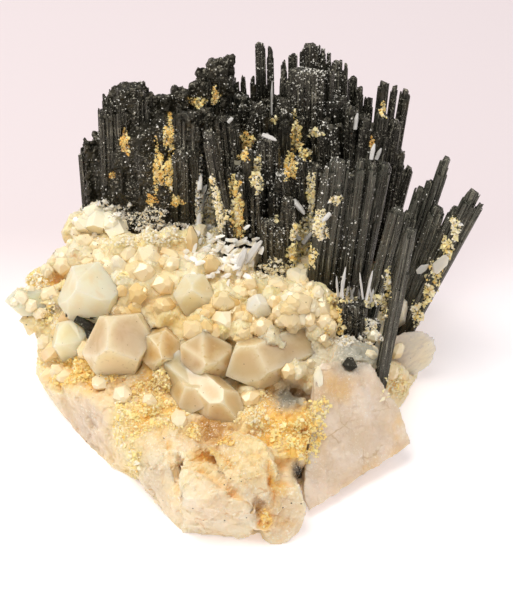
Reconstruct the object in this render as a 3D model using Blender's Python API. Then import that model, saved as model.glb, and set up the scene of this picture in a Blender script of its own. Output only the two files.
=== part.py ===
"""Quartz with huebnerite: a block of milky, iron-stained quartz with quartz crystals on its front
and ridged black huebnerite columns standing on its top and right side.

Solids are worked out in millimetres and scaled to metres when a piece is added. +Z is up, the front
faces -Y, and the quartz is cut flat at z = 0, where it rests.
"""

import math
import random

import bmesh
import bpy
from mathutils import Matrix, Vector

# Driving dimensions, in millimetres
METRES = 0.001
GAP = 0.3
ROOT_DEPTH = 3.0
SOCKET_RISE = 6.0
SPRAY_SOCKET_RISE = 10.0
SOCKET_DEPTH = 4.4
ROOT_SPREAD = 0.64
BACK_SOCKET_LEAN = 0.8
SLAB_THICKNESS = 3.4
LUMP_CORNERS = 12
LUMP_CORNER_REACH = 1.15
# A convex solid grows on every face by one measure when its corners move out by a little more
BLOCK_CORNER_SWELL = 1.6
SLAB_CORNER_SWELL = 1.2
CUT_BOX = 240.0
WELD_DISTANCES = (0.06, 0.03, 0.015, 0.006, 0.002)
FLAT_ANGLE = math.radians(1.5)

# The front is laid out as it is seen from 38 degrees above the ground. A place in that view is
# (u, v), counted in picture points to the right and down, and a height z in millimetres fixes it.
VIEW_ELEVATION = math.radians(38.0)
VIEW_DISTANCE = 465.0
VIEW_POINTS_PER_SLOPE = 2500.0
VIEW_MIDDLE = (256.5, 300.0)
VIEW_AIM = Vector((0.0, -2.5, 27.7))

# Quartz crystals: the point faces stand 38 degrees from the long axis, and every second one is
# smaller. Reaches and setbacks are shares of the crystal's radius.
POINT_SLOPE = math.radians(38.0)
SIDES = 6
SIDE_REACH = (0.80, 1.0)
POINT_SETBACK = (0.66, 0.92)
MINOR_FACE_SETBACK = 0.22

# Huebnerite columns: how far every second corner is set back, how square the outline is, how many
# sides a column has, and how its end slants
GROOVE = 0.86
CORNER_REACH = (0.92, 1.0)
SQUARENESS = 0.55
SIDE_PAIRS = 1.6
SIDE_PAIRS_PER_MILLIMETRE = 0.55
SMALLEST_COLUMN_SIDES = 6
MOST_COLUMN_SIDES = 8
COLUMN_TWIST = 16.0
SLANT_SIDEWAYS = (-0.45, 0.45)
SLANT_FORWARDS = (-0.5, 0.1)
# A wide column has a narrower, shorter blade grown on one side, in shares of its own sizes
LEAST_BLADED_WIDTH = 2.8
BLADE_WIDTH = 0.42
BLADE_DEPTH = 0.6
BLADE_FORWARDS = (0.18, 0.34)
BLADE_SHORTER = (0.07, 0.20)

# Columns are (tip u, tip v, foot u, foot v, foot height, width, depth, lean back in degrees).
FAN_BACK = (
    (260, 43, 264, 200, 26, 2.2, 2.0, 12),
    (270, 47, 272, 200, 26, 1.4, 1.6, 12),
    (243, 76, 248, 200, 26, 1.1, 1.4, 12),
    (253, 77, 256, 200, 26, 1.1, 1.4, 11),
    (230, 79, 236, 200, 26, 3.4, 2.6, 12),
    (284, 61, 284, 200, 26, 1.2, 1.6, 12),
    (293, 53, 292, 200, 26, 1.6, 1.8, 12),
    (310, 44, 309, 200, 26, 4.0, 2.8, 12),
    (323, 49, 320, 200, 26, 1.3, 2.0, 12),
    (329, 53, 325, 200, 26, 1.0, 1.6, 12),
    (338, 61, 333, 202, 26, 2.8, 2.4, 12),
    (346, 64, 340, 203, 26, 1.1, 1.6, 12),
    (353, 76, 346, 205, 25, 1.8, 2.0, 12),
    (360, 87, 352, 207, 25, 1.6, 2.0, 11),
    (369, 98, 359, 210, 24, 2.0, 2.2, 11),
    (384, 82, 369, 212, 24, 2.3, 2.4, 12),
    (395, 87, 377, 214, 23, 1.6, 2.2, 12),
    (406, 90, 384, 218, 22, 2.1, 2.4, 12),
    (402, 152, 384, 240, 22, 1.9, 2.2, 8),
    (409, 167, 386, 252, 22, 1.9, 2.2, 7),
)
FAN_MIDDLE = (
    (307, 69, 304, 215, 26, 10.0, 4.4, 9),
    (258, 103, 262, 215, 27, 3.7, 3.0, 8),
    (227, 117, 238, 222, 27, 4.4, 3.4, 7),
    (208, 131, 230, 250, 27, 2.6, 3.6, 5),
    (247, 150, 253, 240, 27, 2.0, 3.4, 5),
    (268, 138, 272, 235, 27, 4.4, 3.4, 6),
    (328, 124, 322, 235, 26, 3.7, 3.0, 7),
    (352, 107, 345, 235, 25, 2.4, 2.6, 8),
    (366, 118, 352, 238, 24, 2.8, 2.6, 8),
    (382, 112, 364, 238, 24, 2.8, 2.6, 8),
    (395, 120, 376, 238, 23, 2.6, 2.6, 8),
    (300, 158, 303, 245, 26, 3.0, 2.8, 5),
    (318, 165, 314, 250, 26, 2.6, 2.6, 5),
    (285, 120, 286, 225, 26, 2.6, 2.6, 8),
    (243, 104, 249, 215, 26, 2.2, 2.4, 9),
    (239, 176, 243, 247, 27, 2.6, 3.2, 4),
    (257, 176, 259, 248, 27, 2.2, 3.2, 4),
    (283, 172, 284, 250, 26, 3.0, 3.4, 4),
    (334, 168, 327, 258, 25, 2.8, 3.4, 4),
)
FRONT_SHORT = (
    (271, 221, 271, 268, 26, 4.2, 3.2, 2),
    (287, 199, 286, 266, 26, 2.8, 3.0, 3),
)
FRONT_RIGHT = (
    (338, 160, 321, 286, 24, 4.6, 3.4, 4),
    (351, 178, 335, 284, 23.5, 3.2, 3.2, 4),
    (362, 160, 345, 288, 23, 1.9, 2.6, 4),
    (373, 163, 353, 290, 22, 2.0, 2.6, 4),
    (386, 163, 362, 280, 22, 2.4, 2.8, 5),
)
FAN_HEART = (
    (246, 122, 251, 212, 26, 6.0, 7.0, 9),
    (268, 122, 271, 212, 26, 7.0, 7.5, 9),
    (298, 100, 299, 212, 26, 9.0, 8.0, 9),
    (331, 98, 328, 214, 26, 8.0, 8.0, 9),
    (356, 128, 346, 220, 24, 7.0, 8.0, 9),
    (378, 128, 363, 225, 24, 7.0, 7.5, 9),
    (393, 150, 376, 236, 22, 5.0, 6.0, 8),
    (238, 162, 243, 229, 27, 5.0, 7.0, 6),
    (262, 162, 265, 234, 26, 8.0, 9.0, 6),
    (292, 166, 294, 238, 26, 9.0, 10.0, 6),
    (322, 170, 317, 244, 25, 7.0, 10.0, 6),
    (349, 176, 340, 247, 24, 7.0, 9.0, 6),
    (374, 178, 357, 250, 22, 6.0, 9.0, 6),
)
LEFT_COLUMNS = (
    (127, 85, 131, 205, 27, 8.4, 5.0, 8),
    (149, 97, 148, 205, 27, 2.2, 3.4, 8),
    (85, 141, 90, 205, 27, 1.8, 3.0, 5),
    (104, 122, 106, 205, 27, 1.6, 2.0, 8),
    (160, 97, 164, 205, 27, 3.4, 3.0, 9),
    (180, 90, 181, 205, 27, 3.6, 3.0, 9),
    (225, 58, 221, 200, 27, 3.6, 3.0, 10),
    (214, 63, 212, 200, 27, 2.6, 2.8, 10),
    (204, 71, 204, 200, 27, 2.6, 2.8, 10),
    (195, 82, 196, 202, 27, 2.2, 2.6, 10),
    (186, 112, 188, 222, 27, 4.0, 3.4, 6),
    (203, 109, 205, 210, 27, 3.6, 3.0, 7),
    (150, 153, 151, 224, 27, 5.6, 4.0, 4),
    (180, 150, 181, 226, 27, 2.6, 3.0, 3),
    (191, 148, 192, 224, 27, 2.4, 3.0, 3),
    (167, 160, 168, 226, 27, 2.4, 3.0, 3),
    (133, 146, 134, 214, 27, 4.2, 4.2, 5),
    (117, 160, 118, 207, 28, 4.6, 4.0, 3),
)
LEFT_HEART = (
    (108, 152, 110, 204, 27, 7.0, 5.0, 5),
    (136, 128, 138, 212, 27, 9.0, 7.0, 6),
    (172, 122, 173, 213, 27, 8.0, 8.0, 7),
    (205, 118, 206, 206, 27, 6.0, 6.0, 8),
)
LEFT_LUMPS = (
    # place (u, v), height, size across, size upwards
    ((97, 145), 39.0, 4.4, 3.6),
    ((112, 140), 40.5, 4.0, 3.4),
    ((101, 167), 34.5, 5.2, 4.6),
    ((124, 178), 31.5, 4.6, 3.4),
    ((142, 196), 30.0, 4.2, 3.2),
    ((160, 206), 29.0, 3.8, 3.0),
    ((198, 98), 46.5, 2.6, 3.4),
    ((216, 84), 48.0, 3.0, 3.6),
)
BLADE_LONG = ((398, 209, 369, 318, 20, 2.7, 2.6, 5),)
BLADE_GROOVED = ((411, 229, 382, 372, 15.5, 2.3, 2.4, 5),)
SPRAY_MIDDLE = (
    (447, 158, 391, 322, 12, 2.3, 2.6, 8),
    (431, 181, 385, 323, 12, 2.2, 2.6, 8),
    (421, 188, 379, 325, 12, 2.2, 2.6, 8),
    (409, 211, 375, 325, 12, 2.2, 2.6, 7),
)
SPRAY_OUTER = (
    (439, 207, 395, 330, 11, 2.9, 2.4, 2),
    (457, 207, 399, 332, 11, 2.3, 2.4, 2),
    (474, 191, 402, 335, 11, 2.8, 2.6, 2),
    (481, 204, 407, 337, 11, 1.5, 2.2, 2),
)
LOWER_CLUSTER = (
    (353, 304, 352, 332, 20, 4.6, 3.4, 0),
    (342, 299, 344, 332, 20, 2.2, 2.6, 0),
    (362, 301, 360, 334, 19, 2.2, 2.6, 0),
    (367, 319, 362, 338, 18.5, 2.6, 2.6, 0),
    (376, 321, 369, 343, 17, 2.4, 2.4, 0),
)

# Columns at the back are foot (x, y), foot height, length, width, depth, lean right, lean back.
BACK_LEFT_COLUMNS = (
    ((-28.0, 29.5), 25, 17, 4.0, 4.4, -8, 9),
    ((-23.5, 31.0), 25, 20, 4.4, 4.6, -4, 10),
    ((-18.5, 31.0), 25, 19, 4.4, 4.6, -2, 9),
    ((-13.5, 31.0), 25, 21, 4.4, 4.6, -2, 10),
)
BACK_RIGHT_COLUMNS = (
    ((-3.0, 30.5), 25, 24, 4.6, 4.6, 0, 10),
    ((2.0, 31.0), 25, 23, 4.4, 4.6, 1, 11),
    ((7.0, 31.0), 25, 26, 4.6, 4.6, 2, 11),
    ((12.0, 30.5), 24, 24, 4.4, 4.6, 5, 11),
    ((16.5, 29.0), 23, 23, 4.2, 4.6, 9, 11),
    ((20.5, 26.0), 22, 20, 3.8, 4.4, 13, 10),
)

# Quartz crystals are (u, v, height) of the middle where the sides end and the point begins, then
# the turn to the right and the rise of the axis in degrees, radius, length, twist and seed.
QUARTZ_CRYSTALS = {
    "quartz_crystal_large": ((117, 346, 19.5), -12, 34, 6.1, 13, 20, 3),
    "quartz_crystal_upper_left": ((89, 294, 23.0), -22, 44, 5.9, 12, 8, 12),
    "quartz_crystal_lower_left": ((69, 341, 15.5), -34, 26, 3.6, 10, 0, 5),
    "quartz_crystal_tan": ((161, 353, 18.5), 2, 26, 3.7, 9, 14, 7),
    "quartz_crystal_upper_middle": ((194, 295, 25.0), -8, 46, 3.8, 9, 24, 21),
    "quartz_crystal_middle": ((206, 362, 19.0), 4, 32, 4.8, 10, 2, 17),
    "quartz_crystal_left_tip": ((17, 301, 19.5), -76, 12, 2.7, 12, 10, 4),
    "quartz_crystal_small_white": ((259, 306, 26.0), 6, 50, 2.1, 6, 12, 9),
}
QUARTZ_PAIR = (
    ((224, 408, 15.5), 38, -2, 3.6, 14, 6, 31),
    ((197, 398, 15.5), 20, 8, 3.1, 10, 22, 32),
)
QUARTZ_LONG = ((248, 366, 18.5), -52, 4, 4.4, 15, 12, 14)

# Small quartz points that are fused to the matrix, in the same form
FUSED_POINTS = (
    ((165, 317, 21.5), 0, 40, 3.0, 8, 5, 41),
    ((141, 292, 23.5), -6, 46, 3.4, 8, 18, 42),
    ((150, 270, 25.5), -4, 55, 3.2, 7, 0, 43),
    ((171, 263, 26.5), 6, 50, 2.3, 6, 10, 44),
    ((206, 330, 21.5), 4, 44, 4.6, 9, 25, 45),
    ((226, 303, 24.0), 6, 52, 4.6, 8, 9, 46),
    ((224, 330, 22.8), 14, 40, 2.0, 6, 3, 47),
    ((242, 328, 22.5), 10, 52, 3.4, 7, 15, 48),
    ((272, 340, 22.0), 10, 46, 3.4, 7, 28, 49),
    ((301, 349, 21.0), 20, 30, 2.0, 6, 12, 50),
    ((272, 298, 26.5), 0, 58, 2.6, 6, 20, 51),
    ((292, 308, 26.0), 6, 56, 3.8, 7, 6, 52),
    ((318, 302, 25.5), 10, 58, 4.2, 7, 17, 53),
    ((322, 325, 22.5), 22, 36, 3.6, 7, 26, 54),
    ((206, 268, 26.5), 0, 62, 3.4, 6, 13, 55),
    ((239, 268, 26.5), 4, 60, 3.6, 6, 3, 56),
    ((254, 284, 26.5), 0, 60, 2.4, 5, 19, 57),
    ((191, 240, 27.5), 4, 60, 2.6, 5, 8, 58),
    ((124, 252, 26.5), -10, 64, 4.4, 7, 12, 59),
    ((152, 243, 27.5), 0, 66, 3.6, 6, 2, 60),
    ((172, 240, 27.5), 0, 64, 3.2, 6, 16, 61),
    ((97, 213, 27.5), -14, 66, 4.6, 7, 11, 62),
    ((117, 222, 27.5), -4, 62, 3.8, 7, 23, 63),
    ((78, 228, 26.0), -34, 52, 3.6, 7, 4, 64),
    ((58, 264, 22.0), -40, 34, 3.2, 10, 14, 65),
    ((38, 280, 19.5), -50, 30, 3.0, 12, 27, 66),
    ((80, 256, 24.5), -22, 56, 3.6, 7, 9, 67),
    ((52, 303, 18.5), -44, 26, 3.4, 11, 1, 68),
    ((31, 318, 15.5), -62, 14, 2.6, 12, 21, 69),
    ((123, 394, 13.0), -12, 30, 2.4, 6, 5, 70),
    ((178, 424, 12.0), 0, 34, 2.2, 6, 24, 71),
    ((166, 378, 15.0), 0, 14, 2.8, 6, 10, 72),
    ((251, 396, 15.0), 14, 34, 2.6, 6, 18, 73),
    ((296, 372, 17.5), 22, 16, 2.6, 7, 7, 74),
    ((310, 384, 15.0), 14, 30, 2.0, 6, 15, 75),
    ((300, 425, 14.0), 10, 52, 3.4, 7, 25, 76),
    ((250, 425, 14.5), 0, 56, 3.4, 7, 12, 77),
    ((150, 410, 13.0), -6, 56, 3.6, 7, 2, 78),
    ((134, 428, 11.5), -14, 44, 2.8, 7, 19, 79),
    ((84, 378, 11.0), -30, 34, 3.6, 10, 6, 80),
    ((62, 384, 8.0), -40, 20, 3.4, 10, 22, 81),
    ((196, 452, 13.0), 0, 62, 2.8, 6, 13, 82),
)

# Blocks of the matrix: corners seen in front, then corners hidden behind, as (x, y, z)
MATRIX_BLOCKS = (
    # the body under the columns, up to the back edge
    (
        ((72, 400, -6), (120, 462, -6), (170, 480, -6), (330, 475, -6), (405, 430, -6), (66, 300, 19)),
        (
            (-37, 14, -6), (-33, 30, -6), (-16, 40, -6), (12, 40, -6), (27, 30, -6), (33, 8, -6),
            (-37, 20, 22), (-31, 33, 22), (-15, 39.5, 21), (10, 39.5, 20), (24, 31, 18), (29, 10, 14),
            (-31, 24, 27), (-14, 34, 27.5), (8, 34, 26), (18, 24, 24), (-26, 6, 26.5), (14, 8, 26),
        ),
    ),
    # the upper tier that the crystals sit on
    (
        (
            (60, 385, 6), (112, 392, 13), (175, 388, 14), (240, 390, 14.5), (305, 388, 14),
            (322, 368, 17), (345, 345, 19), (346, 312, 24), (300, 285, 26), (200, 262, 27),
            (100, 262, 26), (50, 300, 19), (36, 330, 13), (36, 366, 6),
        ),
        ((-34, 18, 22), (14, 14, 24), (18, 4, 4), (-30, 4, 2)),
    ),
    # the lower tier in front
    (
        (
            (150, 494, -6), (176, 520, -6), (262, 530, -6), (330, 490, -6), (128, 438, 12),
            (168, 452, 13), (240, 452, 14), (300, 458, 12.5), (318, 405, 14.5), (240, 398, 15),
            (150, 402, 13.5), (112, 398, 13),
        ),
        ((0, 0, -6), (0, -6, 12)),
    ),
    # the faces at the lower left
    (
        (
            (36, 364, 7), (35, 374, 5.5), (46, 387, 4), (60, 412, -1), (76, 432, -1), (95, 456, -1),
            (112, 471, -1), (140, 486, -1), (126, 446, 9.5), (116, 406, 13), (88, 398, 12.5),
            (62, 376, 10.5),
        ),
        ((-20, 0, 0), (-30, 4, 10)),
    ),
    (
        (
            (118, 432, 12), (166, 442, 13), (173, 470, 12), (177, 505, 7), (181, 534, -1),
            (166, 512, -1), (148, 494, -1), (128, 455, 10), (141, 482, 4.5),
        ),
        ((-12, -10, 0), (-10, -8, 10)),
    ),
    # the cream block at the front
    (
        (
            (180, 466, 13), (206, 469, 13.5), (226, 482, 13), (251, 501, 11.5), (260, 512, 9),
            (259, 536, -1), (240, 541, -1), (200, 537, -1), (183, 536, -1), (175, 499, 11),
            (200, 500, 12.2),
        ),
        ((-6, -20, 0), (-8, -18, 10)),
    ),
    # the crystal block right of it
    (
        (
            (207, 449, 15), (233, 431, 17), (262, 441, 17), (275, 462, 15.5), (278, 481, 12.5),
            (271, 500, 9), (249, 502, 10.5), (226, 482, 13.5),
        ),
        ((0, -14, 4), (4, -20, 2)),
    ),
    # the lumpy foot at the front right
    (
        (
            (268, 492, 11), (299, 484, 12), (305, 505, 8), (303, 524, 2), (293, 540, -1),
            (283, 549, -1), (270, 549, -1), (262, 542, -1), (259, 515, 6.5),
        ),
        ((4, -22, 0), (5, -20, 9)),
    ),
    # the crusted ledge between the small cluster and the slab
    (
        (
            (330, 350, 20), (340, 336, 21.4), (360, 338, 20.4), (374, 344, 18.6), (383, 358, 16.5),
            (368, 364, 18.5), (345, 366, 19), (328, 364, 18.5), (384, 384, 12),
        ),
        ((14, -2, 8), (24, 2, 6)),
    ),
    # the tan foot under the right block
    (
        (
            (378, 372, 10), (404, 366, 9), (414, 378, 2), (406, 392, -1), (401, 412, -1),
            (392, 400, 4), (380, 385, 8),
        ),
        ((20, -4, 0), (22, 6, 8)),
    ),
)
# Broken lumps on the back and the sides: middle (x, y, z), size across, size upwards, seed
BACK_LUMPS = (
    ((-33, 26, 8), 15, 17, 401),
    ((-24, 35, 15), 14, 15, 402),
    ((-14, 37, 6), 16, 15, 403),
    ((-4, 37, 17), 13, 13, 404),
    ((7, 38, 8), 14, 18, 405),
    ((17, 34, 14), 13, 14, 406),
    ((25, 28, 5), 15, 13, 407),
    ((28, 18, 11), 12, 13, 408),
    ((-37, 12, 15), 9, 13, 409),
    ((-34, 4, 5), 13, 11, 410),
)
BACK_POINTS = (
    # a small quartz point on the back: place (x, y, z), turn, rise, radius, length, twist, seed
    ((-20, 40.5, 21), 168, 34, 2.6, 8, 12, 421),
    ((-10, 41.0, 13), 185, 12, 2.2, 8, 4, 422),
    ((2, 41.0, 19), 176, 30, 2.8, 8, 20, 423),
    ((14, 39.0, 21), 160, 40, 2.2, 8, 9, 424),
    ((24, 33.0, 16), 140, 26, 2.4, 8, 16, 425),
    ((-31, 34.0, 19), 214, 30, 2.6, 9, 2, 426),
)

# The slab's face is flat: three corners fix its plane, and its outline lies on it as seen in front.
SLAB_PLANE = ((347, 361, 20.5), (309, 522, 0.8), (413, 444, 4.6))
SLAB_FACE = (
    (317, 367), (322, 362), (347, 361), (368, 360), (379, 377), (402, 409), (413, 444), (381, 466),
    (346, 486), (309, 513), (304, 501), (303, 488), (306, 468), (313, 438), (316, 400),
)
SLAB_SHRINK = 0.9
TABLET_TAPER = 0.15
RIGHT_BLOCK = (
    (
        (386, 352, 11.5), (391, 338, 14.5), (405, 331, 15.5), (423, 330, 14.8), (436, 338, 12),
        (438, 349, 8), (430, 367, 3), (415, 376, 1.2), (396, 372, 5),
    ),
    ((23, 5, 3), (30, 11, 8), (24, 6, 11)),
)
INCLUSION = (
    (
        (342, 364, 20.6), (347, 357, 20.9), (353, 357, 20.9), (358, 367, 19.8), (352, 371, 19.4),
        (345, 369, 19.7),
    ),
    ((17.2, -9.5, 17.5),),
)
TABLET_UPPER = (
    (
        (432, 264, 30.0), (444, 254, 32.6), (450, 257, 32.2), (448, 265, 30.0), (437, 275, 27.6),
        (433, 273, 28.0),
    ),
    1.5,
)
TABLET_LOWER = (
    (
        (416, 270, 27.0), (421, 265, 28.2), (429, 264, 28.4), (430, 268, 27.4), (421, 274, 26.0),
        (417, 274, 26.0),
    ),
    1.5,
)
COLUMN_RIGHT = ((398, 303, 20.5), -12, 66, 1.6, 11, 10, 91)

# Materials: colour, roughness and metallic value
HUEBNERITE = ("huebnerite_black_submetallic", (0.030, 0.032, 0.027), 0.38, 0.0)
HUEBNERITE_SATIN = ("huebnerite_grey_satin_blade", (0.052, 0.053, 0.047), 0.30, 0.0)
MATRIX_QUARTZ = ("matrix_quartz_iron_stained", (0.72, 0.55, 0.34), 0.55, 0.0)
MILKY_QUARTZ = ("crystal_quartz_milky", (0.78, 0.66, 0.50), 0.30, 0.0)
TAN_QUARTZ = ("crystal_quartz_tan", (0.66, 0.50, 0.28), 0.30, 0.0)
PALE_QUARTZ = ("crystal_quartz_pinkish_white", (0.80, 0.70, 0.62), 0.35, 0.0)
WHITE_QUARTZ = ("crystal_quartz_white", (0.88, 0.84, 0.74), 0.40, 0.0)


def seen(place):
    """The point at height z on the line of sight through (u, v)."""
    u, v, height = place
    right = (u - VIEW_MIDDLE[0]) / VIEW_POINTS_PER_SLOPE
    up = (VIEW_MIDDLE[1] - v) / VIEW_POINTS_PER_SLOPE
    level, rise = math.cos(VIEW_ELEVATION), math.sin(VIEW_ELEVATION)
    eye = VIEW_AIM + VIEW_DISTANCE * Vector((0.0, -level, rise))
    sight = Vector((right, up * rise + level, up * level - rise))
    return eye + sight * ((height - eye.z) / sight.z)


def seen_above(u, v, foot, lean):
    """The point on the line of sight through (u, v) that leans back from the foot by an angle."""
    near, far = seen((u, v, 0.0)), seen((u, v, 100.0))
    sight = far - near
    slope = math.tan(math.radians(lean))
    along = (foot.y - near.y + slope * (near.z - foot.z)) / (sight.y - slope * sight.z)
    return near + sight * along


def add_solid(name, mesh):
    """Put a mesh in the scene as an object."""
    solid = bpy.data.objects.new(name, mesh)
    bpy.context.scene.collection.objects.link(solid)
    return solid


def hull(points):
    """The convex solid round some points."""
    form = bmesh.new()
    for point in points:
        form.verts.new(point)
    bmesh.ops.convex_hull(form, input=form.verts)
    inside = [vertex for vertex in form.verts if not vertex.link_faces]
    bmesh.ops.delete(form, geom=inside, context="VERTS")
    bmesh.ops.recalc_face_normals(form, faces=form.faces)
    mesh = bpy.data.meshes.new("hull")
    form.to_mesh(mesh)
    form.free()
    return add_solid("hull", mesh)


def corners_of(planes):
    """The corners of the convex solid that lies inside every plane (normal, distance)."""
    corners = []
    count = len(planes)
    for i in range(count):
        for j in range(i + 1, count):
            for k in range(j + 1, count):
                rows = Matrix((planes[i][0], planes[j][0], planes[k][0]))
                if abs(rows.determinant()) < 1e-4:
                    continue
                corner = rows.inverted() @ Vector((planes[i][1], planes[j][1], planes[k][1]))
                if all(n.dot(corner) <= d + 1e-4 for n, d in planes):
                    corners.append(corner)
    return corners


def quartz_point(middle, turn, rise, radius, length, twist, seed, swell=0.0):
    """A six-sided quartz crystal. Its sides end round the middle and a six-faced point goes on
    from there. Sides and point faces are of unequal size, as they grow in nature."""
    chance = random.Random(seed)
    turn, rise = math.radians(turn), math.radians(rise)
    axis = Vector((math.sin(turn) * math.cos(rise), -math.cos(turn) * math.cos(rise), math.sin(rise)))
    across = axis.cross(Vector((0.0, 0.0, 1.0))).normalized()
    over = across.cross(axis)
    planes = [(-axis, length + swell)]
    for side in range(SIDES):
        angle = math.radians(twist) + side * math.tau / SIDES
        outward = across * math.cos(angle) + over * math.sin(angle)
        reach = radius * chance.uniform(*SIDE_REACH)
        planes.append((outward, reach + swell))
        minor = 0.0 if side % 2 == 0 else MINOR_FACE_SETBACK
        facet = outward * math.cos(POINT_SLOPE) + axis * math.sin(POINT_SLOPE)
        setback = radius * (minor + chance.uniform(*POINT_SETBACK))
        planes.append((facet, setback * math.cos(POINT_SLOPE) + swell))
    return hull([middle + corner for corner in corners_of(planes)])


def seen_point(place, *sizes):
    """A quartz crystal whose middle is a place in the front view."""
    return quartz_point(seen(place), *sizes)


def column_ring(width, depth, sides, plain, chance):
    """Corners round a column: a rounded rectangle whose every second corner is set back."""
    ring = []
    for step in range(sides):
        angle = math.tau * (step + 0.5) / sides
        c, s = math.cos(angle), math.sin(angle)
        x = math.copysign(abs(c) ** SQUARENESS, c) * width / 2
        y = math.copysign(abs(s) ** SQUARENESS, s) * depth / 2
        inset = 1.0
        if not plain:
            inset = chance.uniform(*CORNER_REACH) * (GROOVE if step % 2 else 1.0)
        ring.append((x * inset, y * inset))
    return ring


def column(foot, tip, width, depth, seed, swell=0.0):
    """A ridged column from foot to tip with a slanting end. Swollen columns cut sockets."""
    chance = random.Random(seed)
    axis = (tip - foot).normalized()
    level = math.cos(VIEW_ELEVATION)
    towards_eye = Vector((0.0, -level, math.sin(VIEW_ELEVATION)))
    across = axis.cross(towards_eye).normalized() * -1.0
    front = axis.cross(across)
    twist = math.radians(chance.uniform(-COLUMN_TWIST, COLUMN_TWIST))
    wide = across * math.cos(twist) + front * math.sin(twist)
    deep = axis.cross(wide)
    plain = swell > 0.0
    sides = 2 * round(width * SIDE_PAIRS_PER_MILLIMETRE + SIDE_PAIRS)
    sides = min(max(SMALLEST_COLUMN_SIDES, sides), MOST_COLUMN_SIDES)
    slant = (chance.uniform(*SLANT_SIDEWAYS), chance.uniform(*SLANT_FORWARDS))
    ring = column_ring(width + 2 * swell, depth + 2 * swell, sides, plain, chance)
    form = bmesh.new()
    low, high = [], []
    for x, y in ring:
        spread = wide * x + deep * y
        low.append(form.verts.new(foot + spread - axis * (ROOT_DEPTH + swell)))
        rise = slant[0] * x + slant[1] * y
        high.append(form.verts.new(tip + spread + axis * (rise + swell)))
    form.faces.new(low)
    form.faces.new(high)
    for index in range(len(ring)):
        follow = (index + 1) % len(ring)
        form.faces.new((low[index], low[follow], high[follow], high[index]))
    bmesh.ops.recalc_face_normals(form, faces=form.faces)
    bmesh.ops.triangulate(form, faces=[f for f in form.faces if len(f.verts) > 4])
    mesh = bpy.data.meshes.new("column")
    form.to_mesh(mesh)
    form.free()
    return add_solid("column", mesh)


def columns(table, swell, first_seed, bladed=True):
    """All columns of a table. Wide ones have a narrower blade grown on one side."""
    made = []
    for index, (u, v, foot_u, foot_v, height, width, depth, lean) in enumerate(table):
        seed = first_seed + index
        chance = random.Random(seed + 500)
        foot = seen((foot_u, foot_v, height))
        tip = seen_above(u, v, foot, lean)
        made.append(column(foot, tip, width, depth, seed, swell))
        if width < LEAST_BLADED_WIDTH or not bladed:
            continue
        side = chance.choice((-1.0, 1.0))
        shift = Vector((side * width * BLADE_WIDTH, -depth * chance.uniform(*BLADE_FORWARDS), 0.0))
        shorter = tip.lerp(foot, chance.uniform(*BLADE_SHORTER))
        sizes = (width * BLADE_WIDTH, depth * BLADE_DEPTH)
        made.append(column(foot + shift, shorter + shift, *sizes, seed + 250, swell))
    return made


def root_socket(table, swell, height=SOCKET_RISE):
    """One socket for a row of columns: the convex solid round their swollen lower ends."""
    corners = []
    for u, v, foot_u, foot_v, foot_height, width, depth, lean in table:
        foot = seen((foot_u, foot_v, foot_height))
        rise = (seen_above(u, v, foot, lean) - foot).normalized()
        for x in (-1, 1):
            for y in (-1, 1):
                side = Vector((x * (width * ROOT_SPREAD + swell), y * (depth * ROOT_SPREAD + swell), 0.0))
                corners.append(foot + side - rise * SOCKET_DEPTH)
                corners.append(foot + side + rise * height)
    return hull(corners)


def back_columns(table, swell, first_seed):
    """The columns along the back, which are shorter than the ones in front of them."""
    made = []
    for index, ((x, y), height, length, width, depth, right, back) in enumerate(table):
        foot = Vector((x, y, height))
        right, back = math.tan(math.radians(right)), math.tan(math.radians(back))
        rise = Vector((right, back, 1.0)).normalized()
        made.append(column(foot, foot + rise * length, width, depth, first_seed + index, swell))
    return made


def back_socket(table, swell):
    """One socket for the columns along the back."""
    corners = []
    for (x, y), height, _, width, depth, _, _ in table:
        for side_x in (-1, 1):
            for side_y in (-1, 1):
                reach = Vector((width * ROOT_SPREAD + swell, depth * ROOT_SPREAD + swell))
                foot = Vector((x + side_x * reach.x, y + side_y * reach.y, height))
                corners.append(foot - Vector((0.0, 0.0, SOCKET_DEPTH)))
                corners.append(foot + Vector((0.0, BACK_SOCKET_LEAN, SOCKET_RISE)))
    return hull(corners)


def lump(middle, across, upwards, seed, swell=0.0):
    """A broken or etched lump: a convex solid with random corners on an ellipsoid."""
    chance = random.Random(seed)
    size = Vector((across / 2 + swell, across / 2 + swell, upwards / 2 + swell)) * LUMP_CORNER_REACH
    points = []
    for _ in range(LUMP_CORNERS):
        way = Vector((chance.gauss(0, 1), chance.gauss(0, 1), chance.gauss(0, 1))).normalized()
        points.append(middle + Vector((way.x * size.x, way.y * size.y, way.z * size.z)))
    return hull(points)


def left_lumps(swell, first_seed):
    """The rounded lumps of the left mass."""
    return [
        lump(seen((u, v, height)), across, upwards, first_seed + index, swell)
        for index, ((u, v), height, across, upwards) in enumerate(LEFT_LUMPS)
    ]


def block(corners, hidden, swell=0.0):
    """A broken block of quartz: the convex solid round its seen and hidden corners."""
    points = [seen(corner) for corner in corners] + [Vector(corner) for corner in hidden]
    if swell:
        middle = sum(points, Vector()) / len(points)
        points = [point + (point - middle).normalized() * swell * BLOCK_CORNER_SWELL for point in points]
    return hull(points)


def slab(swell=0.0):
    """The big slab: its flat face, and the same outline a little smaller at the back."""
    first, second, third = (seen(corner) for corner in SLAB_PLANE)
    outward = (second - first).cross(third - first).normalized()
    middle = (first + second + third) / 3
    face = []
    for u, v in SLAB_FACE:
        near, far = seen((u, v, 0.0)), seen((u, v, 100.0))
        face.append(near.lerp(far, outward.dot(first - near) / outward.dot(far - near)))
    face = [point + (point - middle).normalized() * swell * SLAB_CORNER_SWELL for point in face]
    back = [middle.lerp(point, SLAB_SHRINK) - outward * (SLAB_THICKNESS + swell) for point in face]
    return hull([point + outward * swell for point in face] + back)


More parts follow.
